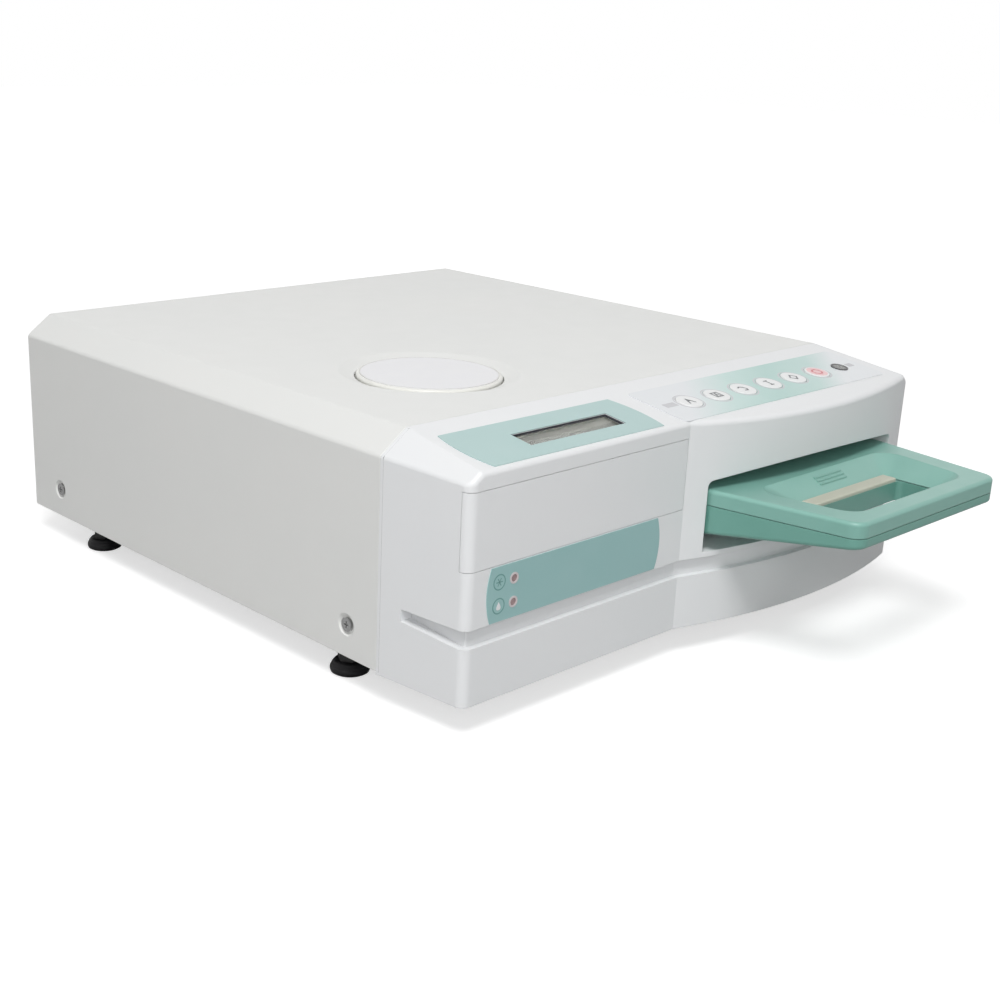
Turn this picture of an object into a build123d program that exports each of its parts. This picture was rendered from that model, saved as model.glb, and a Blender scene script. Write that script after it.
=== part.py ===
from build123d import *
from math import cos, radians, sin, sqrt, tan
import os

# A bench autoclave that takes a sliding cassette. X runs to the right of someone facing the
# front, Y to the rear and Z up from the bench, in millimetres. The origin is on the bench,
# under the middle of the whole machine with its cassette pushed in.

os.makedirs("parts", exist_ok=True)

# Casing
body_width = 433.4
body_depth = 453.6        # flat front face to the rear edge of the cover
body_top = 161.5
cover_bottom = 20.0
fascia_bottom = 18.3
seam_depth = 65.0         # flat front face to the seam between fascia and cover
wall = 3.0
chamfer_width = 18.4
chamfer_drop = 13.5
chamfer_fall = 2.3        # the chamfer is this much lower at the front than at the seam
seam_chamfer = 0.6
seam_lip = 5.0            # lip of the cover behind the fascia, each way from the seam
seam_lip_gap = 1.0
handle_reach = 101.0      # cassette handle in front of the flat front face
rear_reach = 9.0          # exhaust fitting behind the cover

# Front moulding
side_taper = 5.7
crease_x = -28.2          # where the flat front turns into the bowed one
bow_peak_x = 99.6
bow_depth = 19.5
panel_angle = 8.5         # slope of the control panel, in degrees
lip_radius = 3.5
corner_radius = 6.0
band_bottom = 52.8
band_top = 63.5
band_depth = 4.0
band_wrap = 6.0           # how far the band and the bay run round the corners
ring_back = 12.0
over = 5.0                # how far a cutter runs past what it cuts
slot_length = 47.0
slot_depth = 10.0
slot_rear_bottom = 56.3
bay_bottom = 96.8
bay_top = 141.6
bay_side_wrap = 6.2
bay_end_gap = 0.5
seat_play = 0.1
bay_window_margin = 7.5
opening_x = 87.1
opening_width = 197.4
opening_bottom = 67.0
opening_top = 112.5
opening_arch = 6.0          # rise of its top edge at the middle
opening_corner = 4.0
collar_depth = 30.0

# Control panel
label_thickness = 0.4
display_left, display_right = -191.2, -50.2
display_front, display_rear = 3.0, 47.5
display_bulge = 3.0
lcd_x, lcd_y = -110.2, 23.6
lcd_width, lcd_length = 80.5, 16.5
lens_thickness = 1.4
lens_gap = 0.1
module_margin = 9.0
module_depth = 8.0
module_rim = 4.0
keypad_corner = 4.0
keypad_left, keypad_right = -31.2, 189.8
keypad_front, keypad_rear = 1.0, 49.0
key_count = 6
key_first_x, key_pitch, key_y = -1.2, 28.0, 23.0
key_radius = 8.8
key_gap = 0.3
key_proud = 0.9
key_depth = 1.2
key_pocket = 2.0
key_round = 0.6
level_step, level_y, level_radius = 27.5, 23.0, 6.0     # level_step: beyond the last key
level_proud = 0.8
vial_radius, vial_depth, vial_sunk = 4.4, 2.4, 0.1
board_thickness = 1.6

# Indicator label
indicator_left, indicator_right = -193.0, -52.8
indicator_bottom, indicator_top = 64.2, 96.4
indicator_bulge = 3.0
led_x = -175.4
led_heights = (87.3, 73.4)
led_radius = 2.2
led_flange, led_shoulder = 1.5, 0.7

# Fixings
clearance = 0.3
screw_height = 40.0
screw_depths = (92.0, 417.0)      # behind the flat front face
screw_head_radius, screw_head = 4.3, 1.9
screw_radius, screw_length = 2.0, 6.0
screw_slot, screw_slot_depth = 0.9, 1.0
dimple_radius, dimple_depth, dimple_taper = 7.0, 2.0, 40.0
sheet = 1.5
pan_thickness = 2.0
pan_bottom = 21.0
pan_flange = 27.0

# Feet
foot_inset = 18.0
foot_depths = (109.0, 388.4)      # behind the flat front face
foot_radius = 12.2
foot_pad_height = 8.0
foot_socket = 5.0
foot_top_round, foot_base_round = 2.0, 1.0
stud_radius = 3.95
stud_clearance = 0.05
nut_radius, nut_height, nut_gap = 8.0, 4.0, 0.2
boss_radius = 8.0
boss_height = 10.0

# Reservoir
cap_x, cap_depth = -95.2, 158.0
cap_radius = 47.0
cap_gap = 1.0
cap_thickness = 5.4
cap_round = 1.6
dish_radius = 58.0
dish_drop = 3.5
dish_floor = 7.0
dish_rim = 5.0
dish_thickness = 2.0
neck_radius = 37.5
neck_wall = 3.2
neck_gap = 0.5
neck_top = 152.9
cap_seal_height = 2.0
seal_inset = 0.2
skirt_height = 8.9
skirt_wall = 3.0
tank_inset, tank_right = 10.5, -23.2
tank_front, tank_rear = 72.0, 285.0
tank_bottom, tank_top = 40.0, 141.0
tank_wall = 3.0
tank_corner = 10.0
tank_leg_radius, tank_leg_inset = 9.0, 14.0

# Cassette
cassette_width = 193.0
pan_width = 184.0
cassette_front, cassette_rear = 8.0, 305.0
tray_bottom = 68.5
tray_top = 96.0
gasket_height, gasket_inset = 2.0, 1.0
lid_top = 108.5
cassette_sheet = 1.0
cassette_corner = 12.0
cassette_edge = 3.0
port_spacing = 40.0
port_radius = 6.5
port_height = 84.0
handle_seam = 97.0
handle_gap = 0.4
handle_front_width = 160.0
handle_corner = 10.0
handle_bottom_rear = 77.5
handle_bottom_front = 90.5
handle_shoulder = 6.0
lid_handle_top = 107.0
handle_round = 2.5
loop_width, loop_corner = 100.0, 4.0
loop_front, loop_rear = -79.0, -38.0
tray_loop_front, tray_loop_rear = -78.0, -49.0
dish_front, dish_rear = -87.0, -21.0
dish_front_width, dish_rear_width = 128.0, 152.0
dish_corner = 14.0
bar_width = 94.0
bar_depth = 10.4
bar_height = 2.4
bar_round, bar_gap = 1.0, 0.3
grip_width, grip_radius = 30.0, 0.8
grip_depths = (-25.5, -28.0, -30.5)
rack_width, rack_margin, rack_wire = 168.0, 12.0, 2.2
rack_height = 5.0
rack_bars, rack_rails = 14, 5

# Chamber
rail_thickness = 2.0
rail_side_gap = 0.7
boss_room, stud_room = 9.0, 6.0   # kept clear of the side rails round a foot's boss and stud
bearer_front, bearer_rear = 31.0, 338.0
bearer_floor_gap = 0.3
upper_gap = 4.0
probe_block_width, probe_block_depth = 72.0, 24.0
probe_block_front = 312.0
probe_block_top = 104.0
probe_radius, probe_bore = 4.0, 2.0
probe_reach = 12.0

# Inner units, each standing on the base pan unless it says otherwise
generator_x, generator_depth, generator_radius, generator_height = 141.0, 395.0, 28.0, 65.0
transformer_x, transformer_depth, transformer_size = 79.0, 400.0, (60.0, 50.0, 50.0)
compressor_x, compressor_depth, compressor_size = -74.0, 350.0, (70.0, 100.0, 62.0)
pump_inset, pump_depth, pump_size = 37.5, 320.0, (40.0, 40.0, 50.0)
valve_x, valve_depth, valve_size = 30.8, 361.0, (24.0, 24.0, 42.0)
filter_x, filter_z, filter_radius, filter_length = -39.0, 125.0, 14.0, 42.0
board_left, board_right, board_front, board_rear = -9.0, 181.0, 80.0, 260.0
board_standoff, standoff_radius = 5.5, 3.0
tube_radius, tube_bore, tube_bend = 3.0, 2.0, 6.0
steam_run_rise, feed_run_rise = 10.0, 12.0
feed_shift_x, feed_shift_y = -10.0, 18.0
exhaust_run_z = 90.0

# Rear
rear_inset = 3.0
rear_flange = 9.0
fan_x, fan_z, fan_size, fan_depth = -139.2, 98.0, 80.0, 25.0
fan_bore, fan_corner = 37.5, 4.0
fan_blades = 7
blade_tip, blade_chord, blade_thickness, blade_pitch = 36.0, 16.0, 1.6, 35.0
hub_radius, hub_length, hub_gap = 15.0, 18.0, 1.2
strut_width, strut_depth = 4.0, 3.0
shaft_radius, shaft_length, shaft_clearance = 1.95, 16.0, 0.05
guard_wire = 2.0
guard_first, guard_pitch, guard_rings = 12.0, 7.0, 5
inlet_x, inlet_z = 140.8, 55.0
inlet_width, inlet_height, inlet_length = 48.0, 28.0, 28.0
inlet_body_width, inlet_body_height = 32.0, 24.0
inlet_mouth_width, inlet_mouth_height, inlet_mouth = 25.0, 18.0, 17.0
inlet_flange, inlet_corner = 2.0, 3.0
pin_width, pin_height, pin_length, pin_spread, pin_drop = 2.0, 4.0, 13.0, 7.0, 4.0
switch_x, switch_z = 90.8, 55.0
switch_width, switch_height, switch_depth = 22.0, 29.0, 18.0
switch_body_width, switch_body_height = 18.0, 25.0
switch_flange, switch_corner = 1.5, 2.0
rocker_width, rocker_radius, rocker_edge, rocker_dip, rocker_back = 14.0, 10.5, 3.4, 1.8, 5.0
rocker_gap, rocker_tilt = 0.2, 8.0
fitting_x, fitting_z = 30.8, 50.0
fitting_bore, fitting_radius, fitting_inside = 3.2, 6.0, 8.0
fitting_hex, fitting_hex_depth = 9.0, 2.5
rear_screw_radius, rear_screw_head, rear_screw_head_depth = 1.5, 3.0, 1.8
rear_screw_x, rear_screw_z = (-150.0, 0.0, 150.0), 90.0

# Places that follow from the sizes above
overall_length = handle_reach + body_depth + rear_reach
face_y = handle_reach - overall_length / 2
seam_y = face_y + seam_depth
rear_y = face_y + body_depth
half = body_width / 2
inner_half = half - wall
bow_radius = ((bow_peak_x - crease_x) ** 2 + bow_depth ** 2) / (2 * bow_depth)
bow_centre_y = face_y - bow_depth + bow_radius
cap_y = face_y + cap_depth
tank_left = tank_inset - half
pump_x = pump_inset - half
pan_top = pan_bottom + pan_thickness
flange_top = pan_top + pan_flange
lid_bottom = tray_top + gasket_height
bearer_top = tray_bottom - bearer_floor_gap
ceiling = lid_top + upper_gap
panel_y = rear_y - rear_inset
panel_back = panel_y - pan_thickness
key_places = [key_first_x + key_pitch * i for i in range(key_count)]
level_x = key_places[-1] + level_step


def save(build, name):
    """Label one finished piece and write it under its own name."""
    build.part.label = name
    export_step(build.part, f"parts/{name}.step")


def panel_z(y):
    """Height of the sloping control panel."""
    return body_top - (seam_y - y) * tan(radians(panel_angle))


def panel_spot(x, y):
    """Plane lying on the control panel at one place, with X to the right."""
    return Plane(origin=(x, y, panel_z(y)), x_dir=(1, 0, 0), z_dir=panel_normal)


def bow_y(x, inset):
    """Front line of the bowed part at one x, drawn in by an inset."""
    return bow_centre_y - sqrt((bow_radius - inset) ** 2 - (x - bow_peak_x) ** 2)


def front_plan(inset, back, rounding):
    """Plan of the front moulding, drawn in by an inset and closed straight across at the back."""
    flat = face_y + inset
    left_lean = side_taper / seam_depth
    right_lean = side_taper / (seam_y - bow_y(half - side_taper, 0))
    left_front = -half + side_taper + inset * (1 - left_lean)
    right_front = half - side_taper - inset * (1 - right_lean)
    crease = bow_peak_x - sqrt((bow_radius - inset) ** 2 - (bow_centre_y - flat) ** 2)
    corner_y = bow_y(right_front, inset)
    middle = (crease + right_front) / 2
    left_back = (left_front - left_lean * (back - flat), back)
    right_back = (right_front + right_lean * (back - corner_y), back)
    with BuildSketch(mode=Mode.PRIVATE) as plan:
        with BuildLine():
            Polyline(left_back, (left_front, flat), (crease, flat))
            ThreePointArc((crease, flat), (middle, bow_y(middle, inset)), (right_front, corner_y))
            Polyline((right_front, corner_y), right_back, left_back)
        make_face()
        if rounding > 0:
            corners = plan.vertices().filter_by_position(Axis.Y, corner_y - 1, flat + 1)
            fillet([v for v in corners if v.X < left_front + 1 or v.X > right_front - 1], rounding)
    return plan.sketch


def front_ring(outer, inner, back):
    """Plan of the wall between two insets of the front moulding, up to a line at the back."""
    with BuildSketch(mode=Mode.PRIVATE) as ring:
        add(front_plan(outer, seam_y, corner_radius - outer))
        add(front_plan(inner, seam_y + wall, max(corner_radius - inner, 0)), mode=Mode.SUBTRACT)
        with Locations((0, back)):
            Rectangle(2 * body_width, 2 * seam_depth, align=(Align.CENTER, Align.MIN), mode=Mode.SUBTRACT)
    return ring.sketch


panel_normal = Vector(0, -sin(radians(panel_angle)), cos(radians(panel_angle)))
panel_plane = Plane(origin=(0, seam_y, body_top), x_dir=(1, 0, 0), z_dir=panel_normal)


def chamfer_plane(side):
    """Plane of the chamfer on one top corner of the front moulding, -1 for the left one."""
    low = Vector(side * half, seam_y, body_top - chamfer_drop)
    high = Vector(side * (half - chamfer_width), seam_y, body_top)
    front = Vector(side * (half - side_taper), face_y, body_top - chamfer_drop - chamfer_fall)
    return Plane(origin=low, z_dir=(high - low).cross(front - low) * side)


def front_block(inset, bottom, back, rounding=0):
    """The solid form of the front moulding, drawn in by an inset."""
    with BuildPart(mode=Mode.PRIVATE) as block:
        with BuildSketch(Plane.XY.offset(bottom)):
            add(front_plan(inset, back, rounding))
        extrude(amount=body_top + wall - bottom)
        split(bisect_by=panel_plane.offset(-inset), keep=Keep.BOTTOM)
        for side in (-1, 1):
            split(bisect_by=chamfer_plane(side).offset(-inset), keep=Keep.BOTTOM)
    return block.part


def side_box(x_range, y_range, z_range):
    """A plain block between two corners, kept out of any build that is open."""
    centre = [(low + high) / 2 for low, high in (x_range, y_range, z_range)]
    size = [high - low for low, high in (x_range, y_range, z_range)]
    with BuildPart(mode=Mode.PRIVATE) as block:
        with Locations(tuple(centre)):
            Box(*size)
    return block.part


# Front moulding: one shell with the control panel on top, the bay for a printer on the left,
# the cassette opening on the right and a finger slot low on the left side
band_back = band_depth + wall
bay_seat = wall + clearance - seat_play
bay_back = bay_seat + wall
bay_region = side_box(
    (-half - 1, crease_x - bay_end_gap),
    (face_y - over, face_y + bay_side_wrap),
    (bay_bottom, bay_top),
)
bay_window = side_box(
    (-half + side_taper + bay_back + bay_window_margin, crease_x - bay_window_margin),
    (face_y - over, face_y + 2 * ring_back),
    (bay_bottom + bay_window_margin, bay_top - bay_window_margin),
)
with BuildPart(mode=Mode.PRIVATE) as band_backing:
    with BuildSketch(Plane.XY.offset(band_bottom - wall)):
        add(front_ring(wall / 2, band_back, face_y + ring_back))
    extrude(amount=band_top - band_bottom + 2 * wall)
with BuildPart(mode=Mode.PRIVATE) as band_groove:
    with BuildSketch(Plane.XY.offset(band_bottom)):
        add(front_ring(-over, band_depth, face_y + band_wrap))
    extrude(amount=band_top - band_bottom)
with BuildPart(mode=Mode.PRIVATE) as bay_frame:
    with BuildSketch(Plane.XY.offset(bay_bottom - wall)):
        add(front_ring(wall / 2, bay_back, face_y + ring_back))
    extrude(amount=bay_top - bay_bottom + 2 * wall)
    bay_span = side_box((-half, crease_x + wall), (face_y, face_y + ring_back), (0, body_top))
    add(bay_span, mode=Mode.INTERSECT)
with BuildPart(mode=Mode.PRIVATE) as bay_seat_cut:
    with BuildSketch(Plane.XY.offset(bay_bottom)):
        add(front_ring(-over, bay_seat, face_y + ring_back))
    extrude(amount=bay_top - bay_bottom)
    add(bay_region, mode=Mode.INTERSECT)
slot_x = -half + slot_depth + wall
with BuildPart(mode=Mode.PRIVATE) as slot_backing:
    add(side_box((-half - over, slot_x), (face_y, face_y + slot_length + wall),
                 (band_bottom - wall, band_top + wall)))
    add(front_block(wall / 2, fascia_bottom, seam_y), mode=Mode.INTERSECT)
with BuildPart(mode=Mode.PRIVATE) as slot_cut:
    with BuildSketch(Plane.YZ.offset(-half + slot_depth)):
        with BuildLine():
            Polyline(
                (face_y + band_depth, band_bottom),
                (face_y + slot_length, slot_rear_bottom),
                (face_y + slot_length, band_top),
                (face_y + band_depth, band_top),
                close=True,
            )
        make_face()
    extrude(amount=-slot_depth - over)


def opening_outline(margin):
    """Outline of the cassette opening with its arched top edge, grown by a margin."""
    left = opening_x - opening_width / 2 - margin
    right = opening_x + opening_width / 2 + margin
    low, high = opening_bottom - margin, opening_top + margin
    with BuildSketch(mode=Mode.PRIVATE) as outline:
        with BuildLine():
            Polyline((left, high), (left, low), (right, low), (right, high))
            ThreePointArc((right, high), (opening_x, high + opening_arch), (left, high))
        make_face()
        fillet(outline.vertices().sort_by(Axis.Y)[-2:], opening_corner + margin)
    return outline.sketch


opening_plane = Plane.XZ.offset(-(face_y + collar_depth))
with BuildPart(mode=Mode.PRIVATE) as collar:
    with BuildSketch(opening_plane):
        add(opening_outline(wall))
    extrude(amount=collar_depth + 2 * bow_depth)
    add(front_block(wall / 2, fascia_bottom, seam_y), mode=Mode.INTERSECT)
with BuildPart(mode=Mode.PRIVATE) as opening_cut:
    with BuildSketch(opening_plane.offset(-wall)):
        add(opening_outline(0))
    extrude(amount=collar_depth + 2 * bow_depth)

lcd_window_cut = panel_spot(lcd_x, face_y + lcd_y)
with BuildPart() as fascia:
    add(front_block(0, fascia_bottom, seam_y, corner_radius))
    panel_face = fascia.faces().filter_by(lambda f: f.normal_at().Z > 0.95).sort_by(SortBy.AREA)[-1]
    rims = panel_face.edges()
    for face in fascia.faces().filter_by(lambda f: 0.5 < f.normal_at().Z < 0.95):
        rims += face.edges()
    fillet([e for e in rims if e.center().Y < seam_y - 1], lip_radius)
    add(front_block(wall, fascia_bottom - 1, seam_y + over), mode=Mode.SUBTRACT)
    add(band_backing.part)
    add(bay_frame.part)
    add(slot_backing.part)
    add(collar.part)
    add(band_groove.part, mode=Mode.SUBTRACT)
    add(bay_seat_cut.part, mode=Mode.SUBTRACT)
    add(bay_window, mode=Mode.SUBTRACT)
    add(slot_cut.part, mode=Mode.SUBTRACT)
    add(opening_cut.part, mode=Mode.SUBTRACT)
    with BuildSketch(lcd_window_cut):
        Rectangle(lcd_width, lcd_length)
    extrude(amount=-2 * wall, mode=Mode.SUBTRACT)
    for x in key_places:
        with BuildSketch(panel_spot(x, face_y + key_y)):
            Circle(key_radius + key_gap)
        extrude(amount=-key_pocket, mode=Mode.SUBTRACT)
    with BuildSketch(panel_spot(level_x, face_y + level_y)):
        Circle(level_radius)
    extrude(amount=-2 * wall, mode=Mode.SUBTRACT)
    with BuildSketch(Plane.XZ.offset(-(face_y + wall))):
        with Locations(*[(led_x, z) for z in led_heights]):
            Circle(led_radius)
    extrude(amount=2 * wall, mode=Mode.SUBTRACT)
save(fascia, "fascia")

# Blank cover over the printer bay, wrapping round the left corner
with BuildPart() as bay_cover:
    with BuildSketch(Plane.XY.offset(bay_bottom + clearance)):
        add(front_ring(0, bay_seat - clearance / 2, face_y + bay_side_wrap - clearance))
    extrude(amount=bay_top - bay_bottom - 2 * clearance)
    add(side_box((-half, crease_x - bay_end_gap - clearance), (face_y - 1, seam_y), (0, body_top)),
        mode=Mode.INTERSECT)
save(bay_cover, "bay_cover")


def bulged_label(left, right, low, high, bulge):
    """Outline of a printed label whose two ends bow outward."""
    middle = (low + high) / 2
    with BuildSketch(mode=Mode.PRIVATE) as outline:
        with BuildLine():
            Line((left, low), (right, low))
            ThreePointArc((right, low), (right + bulge, middle), (right, high))
            Line((right, high), (left, high))
            ThreePointArc((left, high), (left - bulge, middle), (left, low))
        make_face()
    return outline.sketch


# Display label, window lens and display module
display_x = (display_left + display_right) / 2
display_y = (display_front + display_rear) / 2
display_spot = panel_spot(display_x, face_y + display_y)
display_half = (display_right - display_left) / 2
display_reach = (display_rear - display_front) / 2 / cos(radians(panel_angle))
with BuildPart() as display_label:
    with BuildSketch(display_spot):
        add(bulged_label(-display_half, display_half, -display_reach, display_reach, display_bulge))
    extrude(amount=label_thickness)
    with BuildSketch(lcd_window_cut):
        Rectangle(lcd_width, lcd_length)
    extrude(amount=2 * label_thickness, mode=Mode.SUBTRACT)
save(display_label, "display_label")

with BuildPart() as lcd_lens:
    with BuildSketch(lcd_window_cut.offset(-wall)):
        Rectangle(lcd_width - 2 * lens_gap, lcd_length - 2 * lens_gap)
    extrude(amount=lens_thickness)
save(lcd_lens, "lcd_lens")

with BuildPart() as lcd_module:
    with BuildSketch(lcd_window_cut.offset(-wall)):
        Rectangle(lcd_width + 2 * module_margin, lcd_length + module_margin)
    extrude(amount=-module_depth)
    with BuildSketch(lcd_window_cut.offset(-wall - module_depth)):
        Rectangle(lcd_width + 2 * module_margin + module_rim, lcd_length + module_margin + module_rim)
    extrude(amount=-board_thickness)
save(lcd_module, "lcd_module")

# Keypad: a printed overlay, six round keys standing a little proud, and the board below
keypad_x = (keypad_left + keypad_right) / 2
keypad_y = (keypad_front + keypad_rear) / 2
keypad_width = keypad_right - keypad_left
keypad_reach = (keypad_rear - keypad_front) / cos(radians(panel_angle))
with BuildPart() as keypad_overlay:
    with BuildSketch(panel_spot(keypad_x, face_y + keypad_y)):
        RectangleRounded(keypad_width, keypad_reach, keypad_corner)
    extrude(amount=label_thickness)
    for x in key_places:
        with BuildSketch(panel_spot(x, face_y + key_y)):
            Circle(key_radius + key_gap)
        extrude(amount=2 * label_thickness, mode=Mode.SUBTRACT)
    with BuildSketch(panel_spot(level_x, face_y + level_y)):
        Circle(level_radius + clearance)
    extrude(amount=2 * label_thickness, mode=Mode.SUBTRACT)
save(keypad_overlay, "keypad_overlay")

for number, x in enumerate(key_places, start=1):
    with BuildPart() as key:
        with BuildSketch(panel_spot(x, face_y + key_y).offset(-key_depth)):
            Circle(key_radius)
        extrude(amount=key_depth + key_proud)
        fillet(key.faces().sort_by(Axis.Z)[-1].edges(), key_round)
    save(key, f"key_{number}")

with BuildPart() as keypad_board:
    with BuildSketch(panel_spot(keypad_x, face_y + keypad_y).offset(-wall)):
        Rectangle(keypad_width - 2 * module_margin, keypad_rear - keypad_front - module_margin)
    extrude(amount=-board_thickness)
save(keypad_board, "keypad_board")

# Bubble level: a black cup let into the panel, with its clear vial
with BuildPart() as level_cup:
    with BuildSketch(panel_spot(level_x, face_y + level_y).offset(-wall)):
        Circle(level_radius)
    extrude(amount=wall)
    with BuildSketch(panel_spot(level_x, face_y + level_y)):
        Circle(level_radius)
    extrude(amount=level_proud)
    with BuildSketch(panel_spot(level_x, face_y + level_y).offset(level_proud - vial_depth)):
        Circle(vial_radius)
    extrude(amount=2 * vial_depth, mode=Mode.SUBTRACT)
save(level_cup, "level_cup")

with BuildPart() as level_vial:
    with BuildSketch(panel_spot(level_x, face_y + level_y).offset(level_proud - vial_depth)):
        Circle(vial_radius)
    extrude(amount=vial_depth - vial_sunk)
save(level_vial, "level_vial")

# Indicator label on the front, with two lamps through it
with BuildPart() as indicator_label:
    with BuildSketch(Plane.XZ.offset(-face_y)):
        add(bulged_label(indicator_left, indicator_right, indicator_bottom, indicator_top,
                         indicator_bulge))
        with Locations(*[(led_x, z) for z in led_heights]):
            Circle(led_radius, mode=Mode.SUBTRACT)
    extrude(amount=label_thickness)
save(indicator_label, "indicator_label")

with BuildPart() as indicator_lamps:
    with BuildSketch(Plane.XZ.offset(-(face_y + wall))):
        with Locations(*[(led_x, z) for z in led_heights]):
            Circle(led_radius)
    extrude(amount=wall + label_thickness)
    with BuildSketch(Plane.XZ.offset(-(face_y + wall))):
        with Locations(*[(led_x, z) for z in led_heights]):
            Circle(led_radius + led_shoulder)
    extrude(amount=-led_flange)
save(indicator_lamps, "indicator_lamps")


def cover_form(inset):
    """Cross-section of the cover, drawn in by an inset and closed at the bench."""
    with BuildSketch(mode=Mode.PRIVATE) as form:
        with BuildLine():
            Polyline(
                (-half, 0),
                (-half, body_top - chamfer_drop),
                (-half + chamfer_width, body_top),
                (half - chamfer_width, body_top),
                (half, body_top - chamfer_drop),
                (half, 0),
                close=True,
            )
        make_face()
        if inset > 0:
            offset(amount=-inset, kind=Kind.INTERSECTION, mode=Mode.REPLACE)
        if inset < lip_radius:
            fillet(form.vertices().filter_by_position(Axis.Y, body_top / 2, body_top), lip_radius - inset)
    return form.sketch


# Cover: top and two sides in one sheet, with a dished seat round the filler neck
cover_plane = Plane.XZ.offset(-seam_y)
dish_floor_z = body_top - dish_floor
with BuildPart() as cover:
    with BuildSketch(cover_plane):
        add(cover_form(0))
        add(cover_form(wall), mode=Mode.SUBTRACT)
    extrude(amount=-(body_depth - seam_depth))
    chamfer(cover.faces().sort_by(Axis.Y)[0].outer_wire().edges(), seam_chamfer)
    with BuildSketch(cover_plane):
        add(cover_form(wall))
        add(cover_form(wall + seam_lip_gap + sheet), mode=Mode.SUBTRACT)
    extrude(amount=-seam_lip)
    with BuildSketch(cover_plane):
        add(cover_form(wall + seam_lip_gap))
        add(cover_form(wall + seam_lip_gap + sheet), mode=Mode.SUBTRACT)
    extrude(amount=seam_lip)
    with BuildSketch(Plane.XZ.offset(-panel_back)):
        add(cover_form(wall))
        add(cover_form(wall + rear_flange), mode=Mode.SUBTRACT)
    extrude(amount=pan_thickness)
    cut_length = (seam_y - 2 * over, rear_y + over)
    add(side_box((-inner_half, inner_half), cut_length, (-1, flange_top)), mode=Mode.SUBTRACT)
    add(side_box((-half - 1, half + 1), cut_length, (-1, cover_bottom)), mode=Mode.SUBTRACT)
    with BuildSketch(Plane.XY.offset(dish_floor_z - dish_thickness)):
        with Locations((cap_x, cap_y)):
            Circle(dish_radius + dish_rim)
    extrude(amount=dish_floor + dish_thickness - wall)
    with Locations((cap_x, cap_y, body_top - dish_drop / 2)):
        Cone(cap_radius + cap_gap, dish_radius, dish_drop, mode=Mode.SUBTRACT)
    with BuildSketch(Plane.XY.offset(dish_floor_z)):
        with Locations((cap_x, cap_y)):
            Circle(cap_radius + cap_gap)
    extrude(amount=dish_floor, mode=Mode.SUBTRACT)
    with BuildSketch(Plane.XY.offset(body_top)):
        with Locations((cap_x, cap_y)):
            Circle(neck_radius + neck_gap)
    extrude(amount=-dish_floor - 2 * dish_thickness, mode=Mode.SUBTRACT)
    for side in (-1, 1):
        with BuildSketch(Plane.YZ.offset(side * half)):
            with Locations(*[(face_y + depth, screw_height) for depth in screw_depths]):
                Circle(dimple_radius)
        extrude(amount=-side * dimple_depth, taper=dimple_taper, mode=Mode.SUBTRACT)
        with BuildSketch(Plane.YZ.offset(side * half)):
            with Locations(*[(face_y + depth, screw_height) for depth in screw_depths]):
                Circle(screw_radius)
        extrude(amount=-side * 2 * wall, mode=Mode.SUBTRACT)
    rear_screw_top = body_top - wall - rear_flange / 2
    rear_screw_side = inner_half - rear_flange / 2
    rear_screws_at = [(x, rear_screw_top) for x in rear_screw_x]
    rear_screws_at += [(side * rear_screw_side, rear_screw_z) for side in (-1, 1)]
    with BuildSketch(Plane.XZ.offset(-panel_back)):
        with Locations(*rear_screws_at):
            Circle(rear_screw_radius)
    extrude(amount=pan_thickness, mode=Mode.SUBTRACT)
save(cover, "cover")

# Base pan: floor of the machine, turned up at the sides, with a threaded boss for each foot
feet = {
    "front_left": (-half + foot_inset, face_y + foot_depths[0]),
    "front_right": (half - foot_inset, face_y + foot_depths[0]),
    "rear_left": (-half + foot_inset, face_y + foot_depths[1]),
    "rear_right": (half - foot_inset, face_y + foot_depths[1]),
}
flange_front = seam_y + seam_lip + 1
with BuildPart() as base_pan:
    with BuildSketch(Plane.XY.offset(pan_bottom)):
        add(front_plan(wall, seam_y, corner_radius - wall))
    extrude(amount=pan_thickness)
    add(side_box((-inner_half, inner_half), (seam_y, panel_y), (pan_bottom, pan_top)))
    for side in (-1, 1):
        edges_x = sorted((side * inner_half, side * (inner_half - sheet)))
        add(side_box(edges_x, (flange_front, panel_back), (pan_top, flange_top)))
        with BuildSketch(Plane.YZ.offset(side * half)):
            with Locations(*[(face_y + depth, screw_height) for depth in screw_depths]):
                Circle(screw_radius)
        extrude(amount=-side * 2 * wall, mode=Mode.SUBTRACT)
    with BuildSketch(Plane.XY.offset(pan_top)):
        with Locations(*feet.values()):
            Circle(boss_radius)
    extrude(amount=boss_height)
    with BuildSketch(Plane.XY.offset(pan_bottom)):
        with Locations(*feet.values()):
            Circle(stud_radius + stud_clearance)
    extrude(amount=pan_thickness + boss_height, mode=Mode.SUBTRACT)
save(base_pan, "base_pan")

with BuildPart() as side_screws:
    for side in (-1, 1):
        head_x = side * (half - dimple_depth)
        with BuildSketch(Plane.YZ.offset(head_x)):
            with Locations(*[(face_y + depth, screw_height) for depth in screw_depths]):
                Circle(screw_head_radius)
        extrude(amount=side * screw_head)
        with BuildSketch(Plane.YZ.offset(head_x)):
            with Locations(*[(face_y + depth, screw_height) for depth in screw_depths]):
                Circle(screw_radius)
        extrude(amount=-side * screw_length)
        with BuildSketch(Plane.YZ.offset(head_x + side * screw_head)):
            with Locations(*[(face_y + depth, screw_height) for depth in screw_depths]):
                Rectangle(screw_head_radius, screw_slot)
                Rectangle(screw_slot, screw_head_radius)
        extrude(amount=-side * screw_slot_depth, mode=Mode.SUBTRACT)
save(side_screws, "side_screws")

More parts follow.
